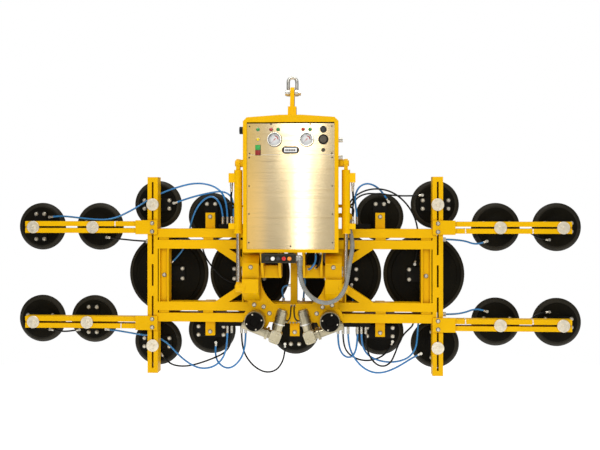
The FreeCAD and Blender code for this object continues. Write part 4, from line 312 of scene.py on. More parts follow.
def motor_finish():
    material = finish("motor_cast", (0.45, 0.395, 0.255), (0.63, 0.56, 0.39), metallic=1.0, rough=(0.22, 0.40),
                      tone_scale=18.0, grain_scale=420.0, grain=0.12, depth=0.0004)
    tree = material.node_tree
    shader = tree.nodes["Principled BSDF"]
    cast = shader.inputs["Base Color"].links[0].from_socket
    place = place_nodes(tree)
    out = tree.nodes.new("ShaderNodeMath")
    out.operation = "ABSOLUTE"
    tree.links.new(part_of(tree, place, "X"), out.inputs[0])
    inward = tree.nodes.new("ShaderNodeMath")
    inward.operation = "MULTIPLY"
    inward.inputs[1].default_value = -math.tan(MOTOR_LEAN)
    tree.links.new(out.outputs["Value"], inward.inputs[0])
    height = tree.nodes.new("ShaderNodeMath")
    tree.links.new(inward.outputs["Value"], height.inputs[0])
    tree.links.new(part_of(tree, place, "Z"), height.inputs[1])
    ring_low, ring_high = (TURN_Z + level / math.cos(MOTOR_LEAN) for level in (RING_START, RING_END))
    in_ring = spread(tree, height.outputs["Value"], 0.0, 1.0, ring_low - 0.0005, ring_low + 0.0005)
    in_can = spread(tree, height.outputs["Value"], 0.0, 1.0, ring_high - 0.0005, ring_high + 0.0005)
    cloud = spread(tree, noise(tree, place, 25.0), 0.0, 1.0)
    can = tint(tree, cloud, (0.38, 0.335, 0.225), (0.52, 0.465, 0.325))
    colour = tint(tree, in_can, tint(tree, in_ring, cast, (0.86, 0.84, 0.78)), can)
    tree.links.new(colour, shader.inputs["Base Color"])
    return material


MOTOR = motor_finish()

# Indicator lamps: the colour follows the place of the lens on the panel
LAMP_MIDDLE_Z = -0.333
RED_LAMP_X = (-0.1085, 0.0695)
LAMP_REACH = 0.014


def compared(tree, value, centre, reach):
    node = tree.nodes.new("ShaderNodeMath")
    node.operation = "COMPARE"
    tree.links.new(value, node.inputs[0])
    node.inputs[1].default_value = centre
    node.inputs[2].default_value = reach
    return node.outputs["Value"]


def lamp_finish():
    material, tree, shader = new_finish("lamp_lens")
    place = place_nodes(tree)
    split = tree.nodes.new("ShaderNodeSeparateXYZ")
    tree.links.new(place, split.inputs["Vector"])
    cloud = spread(tree, noise(tree, place, 120.0), 0.0, 1.0)
    green = tint(tree, cloud, (0.015, 0.22, 0.035), (0.03, 0.34, 0.06))
    red = tint(tree, cloud, (0.40, 0.02, 0.012), (0.55, 0.04, 0.025))
    yellow = tint(tree, cloud, (0.80, 0.55, 0.02), (0.95, 0.72, 0.06))
    colour = green
    for x in RED_LAMP_X:
        colour = tint(tree, compared(tree, split.outputs["X"], x, LAMP_REACH), colour, red)
    colour = tint(tree, compared(tree, split.outputs["Z"], LAMP_MIDDLE_Z - 0.028, LAMP_REACH), colour, yellow)
    tree.links.new(colour, shader.inputs["Base Color"])
    tree.links.new(spread(tree, noise(tree, place, 200.0), 0.1, 0.25), shader.inputs["Roughness"])
    bumped(tree, shader, noise(tree, place, 500.0), 0.1, 0.0003)
    shader.inputs["Coat Weight"].default_value = 0.5
    return material


LAMP = lamp_finish()

NODE_FINISHES = {
    CYLINDER_YELLOW_PAINTED_LIGHT: ["cylinder_left", "cylinder_right"],
    YELLOW: ["bail_frame", "lifting_lug", "yoke_frame", "hub_plate", "frame_rails",
             "frame_uprights", "frame_braces", "pad_posts", "beam_left", "beam_right", "arms_left", "arms_right"],
    BRUSHED: ["control_panel", "access_panel"],
    STAINLESS: ["cabinet_shell"],
    ZINC: ["shackle_bow", "shackle_pin", "tilt_pins", "yoke_bolts", "pad_bolts", "pad_clamps"],
    ROD: ["rod_left", "rod_right"],
    GEAR_STEEL: ["slew_inner_ring", "slew_gear_ring", "pinion_left", "pinion_right"],
    CAST: ["gearbox_housings"],
    MOTOR: ["drive_motors"],
    COVER_BLACK: ["gearbox_covers"],
    BLACK_STEEL: ["pad_bridges", "manifolds"],
    RUBBER: ["arm_pads_left", "arm_pads_right", "frame_pads", "large_pads"],
    NICKEL: ["hose_fittings"],
    PENDANT: ["pendant_housing"],
    GAUGE_CASE: ["vacuum_gauges"],
    NEEDLE: ["gauge_needle_left", "gauge_needle_right"],
    INSTRUMENT: ["panel_instruments"],
    BUTTON_BLACK: ["pendant_button_1", "pendant_button_3", "mute_button"],
    BUTTON_WHITE: ["pendant_button_2"],
    BUTTON_RED: ["pendant_button_4", "stop_button"],
    BUTTON_ORANGE: ["pendant_button_5"],
    BUTTON_GREEN: ["start_button"],
}
for material, names in NODE_FINISHES.items():
    for name in names:
        slots = NODES[name].data.materials
        slots.clear()
        slots.append(material)

# Hoses: each route is (length, points), in millimetres, heights above the turning axis
BLUE_ROUTES = {
    "upper_left_arm": (1295, [
        (-1496, 241, 347), (-1440, 232, 352), (-1350, 190, 346), (-1235, 165, 333), (-1110, 165, 329),
        (-990, 195, 388), (-872, 226, 468), (-745, 222, 522), (-590, 205, 560), (-462, 190, 528),
        (-408, 176, 446), (-404, 173, 350)]),
    "upper_left_beam": (485, [
        (-722, 241, 438), (-680, 236, 452), (-615, 224, 472), (-520, 214, 494), (-440, 209, 506),
        (-382, 194, 478), (-366, 175, 414), (-366, 173, 350)]),
    "left_large": (640, [
        (-747, 241, 78), (-712, 238, 112), (-672, 232, 170), (-648, 226, 245), (-632, 222, 320),
        (-600, 210, 400), (-545, 196, 462), (-484, 185, 476), (-438, 175, 412), (-432, 173, 350)]),
    "lower_left_arm": (957, [
        (-1143, 241, -347), (-1098, 238, -352), (-1030, 233, -362), (-945, 227, -374), (-850, 225, -382),
        (-778, 224, -424), (-718, 220, -488), (-652, 210, -540), (-575, 198, -574), (-492, 188, -562),
        (-432, 180, -510), (-406, 174, -430), (-404, 173, -350)]),
    "lower_left_rail": (447, [
        (-485, 241, -442), (-488, 234, -482), (-474, 222, -532), (-432, 206, -566), (-385, 188, -566),
        (-340, 170, -530), (-308, 158, -480), (-294, 168, -412), (-293, 173, -350)]),
    "upper_right_rail": (406, [
        (375, 173, 350), (368, 172, 412), (362, 170, 472), (384, 176, 528), (430, 190, 552),
        (480, 215, 540), (526, 241, 505), (556, 241, 458)]),
    "upper_right_arm": (238, [
        (1135, 241, 196), (1105, 239, 186), (1068, 232, 188), (1026, 220, 204), (960, 206, 213), (905, 200, 215)]),
    "lower_right_arm": (238, [
        (1135, 241, -214), (1105, 239, -206), (1068, 232, -208), (1026, 220, -222), (962, 206, -233),
        (905, 200, -232)]),
    "lower_right_loop": (329, [
        (262, 173, -350), (262, 172, -408), (282, 160, -466), (320, 148, -490), (358, 148, -474),
        (377, 164, -408), (378, 173, -350)]),
    "lower_right_beam": (598, [
        (322, 173, -350), (325, 172, -416), (352, 172, -484), (398, 180, -544), (460, 196, -584),
        (526, 210, -590), (592, 222, -570), (656, 232, -536), (708, 240, -504), (742, 241, -486)]),
    "lower_right_frame": (629, [
        (402, 173, -350), (404, 180, -414), (432, 192, -474), (488, 206, -510), (556, 214, -526),
        (624, 216, -522), (688, 218, -498), (728, 222, -446), (738, 226, -388), (741, 226, -330), (745, 226, -284)]),
    "right_large": (84, [
        (345, 241, -84), (346, 238, -112), (350, 230, -140), (352, 226, -166)]),
    "centre_left": (102, [
        (-34, 155, -60), (-56, 156, -62), (-72, 158, -80), (-72, 162, -108), (-64, 166, -136)]),
    "centre_right": (155, [
        (34, 155, 0), (54, 156, -4), (66, 158, -24), (66, 162, -56), (58, 166, -96), (56, 168, -136)]),
}
BLACK_ROUTES = {
    "upper_left_arm": (237, [
        (-1138, 241, 218), (-1098, 235, 213), (-1035, 222, 208), (-965, 207, 202), (-905, 200, 200)]),
    "upper_left_rail": (245, [
        (-440, 241, 342), (-440, 234, 386), (-420, 216, 426), (-378, 202, 438), (-336, 182, 404), (-323, 173, 350)]),
    "left_large": (306, [
        (-562, 226, 152), (-552, 226, 112), (-518, 228, 58), (-472, 232, 2), (-415, 238, -44), (-362, 241, -62)]),
    "lower_left_beam": (563, [
        (-808, 241, -509), (-782, 239, -542), (-735, 234, -564), (-662, 228, -566), (-585, 222, -546),
        (-505, 214, -516), (-428, 203, -480), (-382, 184, -420), (-378, 173, -350)]),
    "lower_centre": (522, [
        (-318, 173, -350), (-317, 176, -412), (-298, 186, -488), (-248, 200, -556), (-182, 214, -596),
        (-116, 226, -588), (-76, 236, -538), (-62, 241, -478), (-61, 241, -447)]),
    "lower_left_arm": (142, [
        (-1493, 241, -352), (-1450, 239, -360), (-1400, 239, -360), (-1352, 241, -352)]),
    "upper_right_beam": (505, [
        (347, 173, 350), (347, 178, 408), (366, 194, 458), (424, 204, 490), (505, 206, 488),
        (592, 204, 478), (680, 224, 474), (748, 241, 478)]),
    "upper_right_large": (851, [
        (319, 173, 350), (320, 180, 408), (352, 204, 468), (428, 208, 512), (515, 206, 520),
        (596, 222, 496), (664, 234, 442), (712, 230, 374), (738, 226, 300), (744, 226, 220),
        (740, 232, 148), (728, 241, 84)]),
    "upper_right_arm": (148, [
        (1503, 241, 215), (1472, 238, 219), (1436, 226, 236), (1402, 212, 258), (1372, 205, 268)]),
    "lower_right_arm": (149, [
        (1503, 241, -222), (1472, 238, -226), (1436, 226, -243), (1402, 212, -266), (1372, 205, -277)]),
    "lower_right_rail": (443, [
        (292, 173, -350), (293, 180, -412), (322, 194, -474), (384, 210, -512), (455, 222, -520),
        (520, 232, -500), (566, 241, -462), (582, 241, -425)]),
    "lower_right_frame": (574, [
        (428, 173, -350), (430, 174, -412), (446, 172, -478), (486, 172, -530), (534, 176, -546),
        (578, 184, -522), (604, 194, -466), (626, 204, -410), (654, 216, -358), (690, 224, -326),
        (711, 226, -306), (716, 226, -284)]),
}
# Heights above the tilt axis
BLUE_SUPPLY = (140, [(137, -100, 108), (139, -104, 78), (130, -105, 50), (112, -96, 28), (99, -73, 17), (96, -49, 16)])
BLACK_SUPPLY = (161, [(168, -160, 108), (167, -160, 80), (160, -140, 54), (149, -108, 36), (139, -78, 26),
                      (136, -49, 24)])
CONDUIT_ROUTE = (847, [
    (51, -181, 49), (51, -181, 0), (62, -178, -48), (82, -171, -94), (117, -162, -132),
    (160, -153, -158), (208, -145, -165), (254, -137, -149), (288, -130, -114), (308, -124, -68),
    (318, -120, -18), (325, -115, 32), (334, -104, 80), (342, -82, 124), (345, -52, 163),
    (339, -24, 205), (328, -6, 251), (328, -6, 300)])
# Heights above the upper pin of the cylinder, for the right side
UPPER_LINE = (156, [(347, -60, -162), (350, -57, -194), (352, -36, -222), (342, -10, -238), (315, 0, -244),
                    (285, 0, -244)])
LOWER_LINE = (121, [(347, -60, -303), (350, -58, -281), (352, -46, -262), (340, -30, -250), (314, -26, -245),
                    (285, -26, -245)])
# Heights above the turning axis, for the right side
MOTOR_CABLE = (135, [(9, 33, -166), (9, 10, -166), (9, -14, -176), (10, -25, -204), (14, -20, -230), (23, -9, -244),
                     (32, -3, -249)])


def route_points(points, level, side=1):
    return [Vector((side * x * MM, y * MM, z * MM + level)) for x, y, z in points]


def route_curve(name, points, radius=0.0):
    """A smooth curve whose control points are the route's points."""
    data = bpy.data.curves.new(name, "CURVE")
    data.dimensions = "3D"
    data.resolution_u = 10
    data.bevel_depth = radius
    data.bevel_resolution = 4
    data.use_fill_caps = True
    spline = data.splines.new("NURBS")
    spline.points.add(len(points) - 1)
    for spot, point in zip(spline.points, points):
        spot.co = (*point, 1.0)
    spline.order_u = 3
    spline.use_endpoint_u = True
    piece = bpy.data.objects.new(name, data)
    bpy.context.scene.collection.objects.link(piece)
    return piece


def lay_hose(name, route, level, diameter, material, body, node, side=1):
    length, points = route
    places = route_points(points, level, side)
    piece = route_curve(name, places, diameter / 2)
    piece.data.materials.append(material)
    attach(piece, body)
    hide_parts(node)
    return piece


BLUE_DIAMETER = 0.011
BLACK_DIAMETER = 0.010
LINE_DIAMETER = 0.012
CABLE_DIAMETER = 0.008
for name, route in BLUE_ROUTES.items():
    lay_hose("blue_hose_" + name, route, TURN_Z, BLUE_DIAMETER, BLUE_HOSE, "pad_frame", "blue_hoses")
for name, route in BLACK_ROUTES.items():
    lay_hose("black_hose_" + name, route, TURN_Z, BLACK_DIAMETER, BLACK_HOSE, "pad_frame", "black_hoses")
lay_hose("blue_supply", BLUE_SUPPLY, TILT_Z, BLUE_DIAMETER, BLUE_HOSE, "bail", "supply_hoses")
lay_hose("black_supply", BLACK_SUPPLY, TILT_Z, BLUE_DIAMETER, BLACK_HOSE, "bail", "supply_hoses")
for word, side in (("left", -1), ("right", 1)):
    for level_word, route in (("upper", UPPER_LINE), ("lower", LOWER_LINE)):
        lay_hose(level_word + "_line_" + word, route, TOP_PIN_Z, LINE_DIAMETER, BLACK_HOSE,
                 "cylinder_body_" + word, "hydraulic_lines_" + word, side)
    lay_hose("motor_cable_" + word, MOTOR_CABLE, TURN_Z, CABLE_DIAMETER, BLACK_HOSE, "yoke",
             "motor_cables", side)


# Shaping helpers: each adds to a bmesh, in metres

def turned(bm, profile, start, direction, segments=32):
    """Spins a profile of (radius, distance along the axis) round an axis that starts at a point."""
    made = [bm.verts.new((radius, 0.0, along)) for radius, along in profile]
    edges = [bm.edges.new(pair) for pair in zip(made, made[1:])]
    spun = bmesh.ops.spin(bm, geom=made + edges, axis=(0, 0, 1), cent=(0, 0, 0), dvec=(0, 0, 0),
                          angle=2 * math.pi, steps=segments, use_merge=True, use_normal_flip=False)
    del spun
    fresh = set(made)
    stack = list(made)
    while stack:
        for edge in stack.pop().link_edges:
            for vert in edge.verts:
                if vert not in fresh:
                    fresh.add(vert)
                    stack.append(vert)
    fresh = list(fresh)
    bmesh.ops.remove_doubles(bm, verts=fresh, dist=1e-6)
    fresh = [vert for vert in fresh if vert.is_valid]
    turn = Vector(direction).to_track_quat("Z", "Y").to_matrix().to_4x4()
    bmesh.ops.transform(bm, matrix=Matrix.Translation(start) @ turn, verts=fresh)
    return fresh


def cornered(bm, low, high, round_off=0.0, segments=2):
    """A box between two corners with rounded edges."""
    low, high = Vector(low), Vector(high)
    size = high - low
    matrix = Matrix.Translation((low + high) / 2) @ Matrix.Diagonal((*size, 1.0))
    made = bmesh.ops.create_cube(bm, size=1.0, matrix=matrix)["verts"]
    if round_off:
        edges = list({edge for vert in made for edge in vert.link_edges})
        bmesh.ops.bevel(bm, geom=edges, offset=round_off, offset_type="OFFSET", affect="EDGES", segments=segments,
                        profile=0.5, material=-1)


def finished(name, bm, material, body, sharp=40.0, replaced=()):
    """Turns a bmesh into a piece at the origin that rides on a body."""
    bmesh.ops.recalc_face_normals(bm, faces=bm.faces)
    mesh = bpy.data.meshes.new(name)
    bm.to_mesh(mesh)
    bm.free()
    for face in mesh.polygons:
        face.use_smooth = True
    mesh.set_sharp_from_angle(angle=math.radians(sharp))
    mesh.materials.append(material)
    piece = bpy.data.objects.new(name, mesh)
    bpy.context.scene.collection.objects.link(piece)
    if body:
        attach(piece, body)
    if replaced:
        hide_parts(*replaced)
    return piece


# Pendant conduit: a ribbed tube along its route's smooth curve
CONDUIT_RIBS = 76
RIB_CREST = 0.013
RIB_VALLEY = 0.0108
CUFF = 0.027
RIB_SHARES = ((0.0, 0.0), (0.15, 0.0), (0.35, 1.0), (0.65, 1.0), (0.85, 0.0))


def smooth_line(points):
    """Points along a route's smooth curve."""
    guide = route_curve("guide", points)
    guide.data.resolution_u = 24
    mesh = bpy.data.meshes.new_from_object(guide)
    line = [vert.co.copy() for vert in mesh.vertices]
    bpy.data.objects.remove(guide)
    bpy.data.meshes.remove(mesh)
    return line


def along(line, distances):
    """Places and directions at distances along a line of points."""
    frames = []
    travelled = 0.0
    index = 0
    for distance in distances:
        while index < len(line) - 2 and travelled + (line[index + 1] - line[index]).length < distance:
            travelled += (line[index + 1] - line[index]).length
            index += 1
        step = line[index + 1] - line[index]
        frames.append((line[index] + step.normalized() * (distance - travelled), step.normalized()))
    return frames


def line_length(line):
    return sum((second - first).length for first, second in zip(line, line[1:]))


def ribbed_conduit():
    length, points = CONDUIT_ROUTE
    line = smooth_line(route_points(points, TILT_Z))
    total = line_length(line)
    pitch = (total - 2 * CUFF) / CONDUIT_RIBS
    profile = [(RIB_CREST, 0.0), (RIB_CREST, CUFF)]
    for rib in range(CONDUIT_RIBS):
        for share, crest in RIB_SHARES:
            profile.append((RIB_VALLEY + crest * (RIB_CREST - RIB_VALLEY), CUFF + (rib + share) * pitch))
    profile += [(RIB_VALLEY, total - CUFF), (RIB_CREST, total - CUFF), (RIB_CREST, total)]
    bm = bmesh.new()
    turned(bm, profile, (0, 0, 0), (0, 0, 1), 20)
    verts = sorted(bm.verts, key=lambda vert: vert.co.z)
    frames = along(line, [min(vert.co.z, total) for vert in verts])
    normal = Vector((1, 0, 0))
    for vert, (place, heading) in zip(verts, frames):
        normal = (normal - heading * normal.dot(heading)).normalized()
        across = heading.cross(normal)
        vert.co = place + normal * vert.co.x + across * vert.co.y
    piece = finished("ribbed_conduit", bm, CONDUIT, None, 60.0, ["pendant_conduit"])
    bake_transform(piece)


ribbed_conduit()

# Fittings of the supply hoses, cylinder lines and motor cables
def hex_ferrule(bm, start, end, radius):
    """A hexagon against the part, a waist, and a ribbed sleeve over the hose."""
    start, end = Vector(start), Vector(end)
    heading = end - start
    length = heading.length
    turned(bm, [(0.0, 0.0), (radius, 0.0), (radius, length * 0.38), (radius * 0.9, length * 0.42), (0.0, length * 0.42)],
           start, heading, 6)
    sleeve = [(0.0, length * 0.38), (radius * 0.72, length * 0.38), (radius * 0.72, length * 0.46)]
    for ring in range(3):
        base = length * (0.48 + 0.16 * ring)
        sleeve += [(radius * 0.86, base), (radius * 0.86, base + length * 0.11), (radius * 0.78, base + length * 0.13)]
    sleeve += [(radius * 0.78, length), (0.0, length)]
    turned(bm, sleeve, start, heading, 24)


def fittings_piece(name, ends, radius, body, node):
    bm = bmesh.new()
    for start, end in ends:
        hex_ferrule(bm, start, end, radius)
    finished(name, bm, NICKEL, body, 35.0, [node])


BAIL_BOTTOM = -0.990
HINGE_FRONT = -0.035
supply_ends = []
for length, points in (BLUE_SUPPLY, BLACK_SUPPLY):
    places = route_points(points, TILT_Z)
    first, last = places[0], places[-1]
    supply_ends.append((Vector((first.x, first.y, BAIL_BOTTOM)), first))
    supply_ends.append((Vector((last.x, HINGE_FRONT, last.z)), last))
fittings_piece("supply_fittings", supply_ends, 0.008, "bail", "supply_hoses")
for word, side in (("left", -1), ("right", 1)):
    line_ends = [(Vector((side * 0.347, -0.060, TOP_PIN_Z - 0.110)), Vector((side * 0.347, -0.060, TOP_PIN_Z - 0.162))),
                 (Vector((side * 0.347, -0.060, TOP_PIN_Z - 0.343)), Vector((side * 0.347, -0.060, TOP_PIN_Z - 0.303)))]
    fittings_piece("line_fittings_" + word, line_ends, 0.009, "cylinder_body_" + word, "hydraulic_lines_" + word)
cable_ends = []
for side in (-1, 1):
    first = route_points(MOTOR_CABLE[1], TURN_Z, side)[0]
    cable_ends.append((Vector((first.x, 0.045, first.z)), first))
fittings_piece("cable_glands", cable_ends, 0.007, "yoke", "motor_cables")


# Suction pads: a rubber disc with a boss, a stepped skirt that flares to the lip, and ribs on the suction face
PAD_BACK = 0.263
PAD_DEEP = 0.050
SMALL_PAD = 0.146
LARGE_PAD = 0.246
PAD_SECTION = [
    (0.0, -0.08), (0.404, -0.08), (0.416, -0.07), (0.42, -0.05), (0.422, -0.008), (0.43, 0.0), (0.60, 0.0),
    (0.775, 0.0), (0.792, 0.008), (0.80, 0.03), (0.806, 0.12), (0.812, 0.15), (0.824, 0.155), (0.85, 0.145),
    (0.872, 0.15), (0.892, 0.175), (0.92, 0.245), (0.95, 0.33), (0.978, 0.415), (0.994, 0.48), (1.0, 0.53),
    (1.0, 0.60), (0.994, 0.66), (0.972, 0.79), (0.95, 0.92), (0.938, 0.985), (0.928, 1.0), (0.906, 1.0),
    (0.898, 0.98), (0.885, 0.85), (0.872, 0.70), (0.862, 0.635), (0.845, 0.62), (0.74, 0.62), (0.735, 0.68),
    (0.715, 0.68), (0.71, 0.62), (0.56, 0.62), (0.555, 0.68), (0.53, 0.68), (0.525, 0.62), (0.34, 0.62),
    (0.33, 0.68), (0.30, 0.68), (0.29, 0.62), (0.0, 0.62)]
SMALL_SKIRT = 0.815
LARGE_SKIRT = 0.925
ARM_LEVEL = 0.287
ARM_END = 1.580
ARM_MIDDLE = 1.215
LOWER_LEFT_MIDDLE = 1.250
BEAM_PLACE = 0.850
BEAM_PAD_LEVEL = 0.423
RAIL_PAD_PLACE = 0.515
RAIL_PAD_LEVEL = 0.349
LARGE_PAD_PLACES = (-0.783, -0.280, 0.280, 0.783)


def suction_pads(name, places, radius, node, skirt_start):
    bm = bmesh.new()
    section = [(across * radius, deep * PAD_DEEP) for across, deep in PAD_SECTION]
    for x, z in places:
        made = turned(bm, section, (x, PAD_BACK, z), (0, 1, 0), 72)
        for face in {face for vert in made for face in vert.link_faces}:
            middle = face.calc_center_median()
            # Faces out past the skirt start take the lighter skirt rubber, which is partly a painted highlight.
            face.material_index = int(math.hypot(middle.x - x, middle.z - z) > skirt_start * radius)
    piece = finished(name, bm, RUBBER, "pad_frame", 32.0, [node])
    piece.data.materials.append(SKIRT_DUST_AND_HIGHLIGHT)


left_arm_pads = [(-ARM_END, TURN_Z + ARM_LEVEL), (-ARM_MIDDLE, TURN_Z + ARM_LEVEL), (-ARM_END, TURN_Z - ARM_LEVEL),
                 (-LOWER_LEFT_MIDDLE, TURN_Z - ARM_LEVEL)]
right_arm_pads = [(x, TURN_Z + level) for level in (ARM_LEVEL, -ARM_LEVEL) for x in (ARM_END, ARM_MIDDLE)]
beam_pads = [(x, TURN_Z + level) for level in (BEAM_PAD_LEVEL, -BEAM_PAD_LEVEL) for x in (-BEAM_PLACE, BEAM_PLACE)]
rail_pads = [(x, TURN_Z + level) for level in (RAIL_PAD_LEVEL, -RAIL_PAD_LEVEL)
             for x in (-RAIL_PAD_PLACE, 0.0, RAIL_PAD_PLACE)]
suction_pads("left_arm_suction_pads", left_arm_pads, SMALL_PAD, "arm_pads_left", SMALL_SKIRT)
suction_pads("right_arm_suction_pads", right_arm_pads, SMALL_PAD, "arm_pads_right", SMALL_SKIRT)
suction_pads("frame_suction_pads", beam_pads + rail_pads, SMALL_PAD, "frame_pads", SMALL_SKIRT)
suction_pads("large_suction_pads", [(x, TURN_Z) for x in LARGE_PAD_PLACES], LARGE_PAD, "large_pads", LARGE_SKIRT)

# Clamp discs: a turned disc with a washer and a hexagon screw, over the slots of arms and beams
FRAME_FRONT = 0.133
ARM_BACK = 0.193
FRAME_BACK = 0.213
CLAMP_SECTION = [
    (0.0, 0.0), (0.0362, 0.0), (0.037, 0.0008), (0.037, 0.0064), (0.0356, 0.008), (0.0285, 0.008), (0.0278, 0.0074),
    (0.0165, 0.0074), (0.0165, 0.0092), (0.0155, 0.0098), (0.0, 0.0098)]


def hexagon(bm, place, heading, radius, height, chamfer):
    """A hexagon head with its outer edges broken."""
    heading = Vector(heading)
    turn = heading.to_track_quat("Z", "Y").to_matrix().to_4x4()
    matrix = Matrix.Translation(Vector(place) + heading.normalized() * height / 2) @ turn
    made = bmesh.ops.create_cone(bm, cap_ends=True, segments=6, radius1=radius, radius2=radius, depth=height, matrix=matrix)
    edges = list({edge for vert in made["verts"] for edge in vert.link_edges})
    bmesh.ops.bevel(bm, geom=edges, offset=chamfer, offset_type="OFFSET", affect="EDGES", segments=1, profile=0.5,
                    material=-1)


# Bolts: each CAD bolt becomes a washer with a broken edge and a hexagon head with a stud end; the washers are painted
# dark as shade round the heads
WASHER_HIGH = 0.0025
LARGE_BOLT = 0.009


def solid_boxes(node):
    """The box of each separate solid of a CAD node."""
    bm = bmesh.new()
    bm.from_mesh(node.data)
    bmesh.ops.remove_doubles(bm, verts=bm.verts, dist=1e-6)
    left = set(bm.verts)
    boxes = []
    while left:
        stack = [left.pop()]
        places = []
        while stack:
            vert = stack.pop()
            places.append(vert.co.copy())
            for edge in vert.link_edges:
                other = edge.other_vert(vert)
                if other in left:
                    left.remove(other)
                    stack.append(other)
        boxes.append(tuple(Vector(pick(place[axis] for place in places) for axis in range(3)) for pick in (min, max)))
    bm.free()
    return sorted(boxes, key=lambda box: tuple(box[0]))


def repeated(target, pattern, places):
    """Adds a copy of a small bmesh at each place."""
    mesh = bpy.data.meshes.new("pattern")
    pattern.to_mesh(mesh)
    pattern.free()
    for place in places:
        before = len(target.verts)
        target.from_mesh(mesh)
        target.verts.ensure_lookup_table()
        for vert in target.verts[before:]:
            vert.co += Vector(place)
    bpy.data.meshes.remove(mesh)


def bolt_pattern(radius, tall):
    """A washer and a head, on a face at the origin, standing towards -Y."""
    washer = bmesh.new()
    head = bmesh.new()
    large = radius > LARGE_BOLT
    lift = WASHER_HIGH if large else 0.0007
    across = radius * (0.75 if large else 0.86)
    turned(washer, [(0.0, 0.0), (radius, 0.0), (radius, lift * 0.7), (radius * 0.95, lift), (0.0, lift)],
           (0, 0, 0), (0, -1, 0), 28)
    hexagon(head, (0, -lift, 0), (0, -1, 0), across, (tall - lift) * 0.82, across * 0.08)
    turned(head, [(0.0, 0.0), (across * 0.5, 0.0), (across * 0.5, tall * 0.94), (across * 0.42, tall), (0.0, tall)],
           (0, 0, 0), (0, -1, 0), 16)
    return washer, head


def bolts(name, node, body):
    washers = bmesh.new()
    heads = bmesh.new()
    sizes = {}
    for low, high in solid_boxes(NODES[node]):
        size = (round((high.x - low.x) / 2, 4), round(high.y - low.y, 4))
        sizes.setdefault(size, []).append(((low.x + high.x) / 2, high.y, (low.z + high.z) / 2))
    for (radius, tall), places in sizes.items():
        washer, head = bolt_pattern(radius, tall)
        repeated(washers, washer, places)
        repeated(heads, head, places)
    finished(name + "_washers", washers, WASHER_PAINTED_SHADE, body, 30.0, [node])
    finished(name + "_heads", heads, BOLT_HEAD, body, 30.0, [node])


bolts("frame_bolt", "pad_bolts", "pad_frame")
bolts("yoke_bolt", "yoke_bolts", "yoke")


def clamp_discs():
    bm = bmesh.new()
    for places, back in ((left_arm_pads + right_arm_pads, ARM_BACK), (beam_pads, FRAME_BACK)):
        disc = bmesh.new()
        turned(disc, CLAMP_SECTION, (0, 0, 0), (0, -1, 0), 48)
        hexagon(disc, (0, -0.0098, 0), (0, -1, 0), 0.0118, 0.0082, 0.0008)
        turned(disc, [(0.0, 0.0), (0.0048, 0.0), (0.0048, 0.0195), (0.004, 0.0208), (0.0, 0.0208)], (0, 0, 0), (0, -1, 0), 20)
        turned(disc, [(0.0, 0.0), (0.005, 0.0), (0.005, back - FRAME_FRONT), (0.0, back - FRAME_FRONT)],
               (0, 0, 0), (0, 1, 0), 20)
        repeated(bm, disc, [(x, FRAME_FRONT, z) for x, z in places])
    finished("clamp_discs", bm, CLAMP_STEEL, "pad_frame", 30.0, ["pad_clamps"])


clamp_discs()

# Ties that hold the hoses to the arms: (place along, height of the arm, which bar)
TIE_PLACES = ((-1.079, ARM_LEVEL, 1), (-1.042, -ARM_LEVEL, -1), (1.012, ARM_LEVEL, -1), (1.404, ARM_LEVEL, -1),
              (1.012, -ARM_LEVEL, 1), (1.404, -ARM_LEVEL, 1))
TIE_WIDE = 0.0048
TIE_THICK = 0.0012
BAR_INNER = 0.006
BAR_OUTER = 0.035


def hose_ties():
    bm = bmesh.new()
    for x, level, bar in TIE_PLACES:
        ends = sorted((TURN_Z + level + bar * BAR_INNER, TURN_Z + level + bar * BAR_OUTER))
        low, high = ends[0] - TIE_THICK, ends[1] + TIE_THICK
        front, back = FRAME_FRONT - TIE_THICK, ARM_BACK + TIE_THICK
        left, right = x - TIE_WIDE / 2, x + TIE_WIDE / 2
        cornered(bm, (left, front, low), (right, FRAME_FRONT, high), 0.0004)
        cornered(bm, (left, ARM_BACK, low), (right, back, high), 0.0004)
        cornered(bm, (left, front, ends[1]), (right, back, high), 0.0004)
        cornered(bm, (left, front, low), (right, back, ends[0]), 0.0004)
        cornered(bm, (left - 0.0012, front - 0.0042, ends[0] + 0.004), (right + 0.0012, front, ends[0] + 0.012), 0.0009)
        cornered(bm, (left + 0.0006, front - 0.012, ends[0] + 0.0072), (right - 0.0006, front, ends[0] + 0.0086), 0.0004)
    finished("hose_ties", bm, TIE_WHITE, "pad_frame", 40.0)


hose_ties()

# Control panel and access panel: screws, a bright seam strip that paints the edge's highlight, and instrument faces
PANEL_FACE = -0.181
CONTROL_SCREWS = [(-0.229, -0.288), (0.229, -0.288), (-0.109, -0.2765), (0.109, -0.2765), (-0.229, -0.4385),
                  (0.229, -0.4385)]
ACCESS_SCREWS = [(-0.231, -0.462), (0.231, -0.462), (-0.2315, -0.620), (0.2315, -0.620), (-0.2325, -0.7757),
                 (0.2325, -0.7757), (-0.2335, -0.9355), (0.2335, -0.9355), (0.0, -0.9552)]
SCREW_SECTION = [(0.0, 0.0), (0.0046, 0.0), (0.0046, 0.0006), (0.0041, 0.0018), (0.0030, 0.0026), (0.0024, 0.0028),
                 (0.0022, 0.0010), (0.0, 0.0010)]


def panel_screws():
    bm = bmesh.new()
    for x, z in CONTROL_SCREWS + ACCESS_SCREWS:
        turned(bm, SCREW_SECTION, (x, PANEL_FACE, z), (0, -1, 0), 24)
    finished("panel_screws", bm, SCREW_STEEL, "bail", 25.0)


panel_screws()
# A rounded strip of bright steel in the seam: its shape is the access panel's rounded top edge, and its brightness is a
# painted highlight.
SEAM_Z = -0.4458
bm = bmesh.new()
cornered(bm, (-0.2435, PANEL_FACE - 0.0012, SEAM_Z - 0.0016), (0.2435, PANEL_FACE + 0.001, SEAM_Z + 0.0004), 0.0006, 3)
finished("panel_seam_highlight", bm, CLAMP_STEEL, "bail")

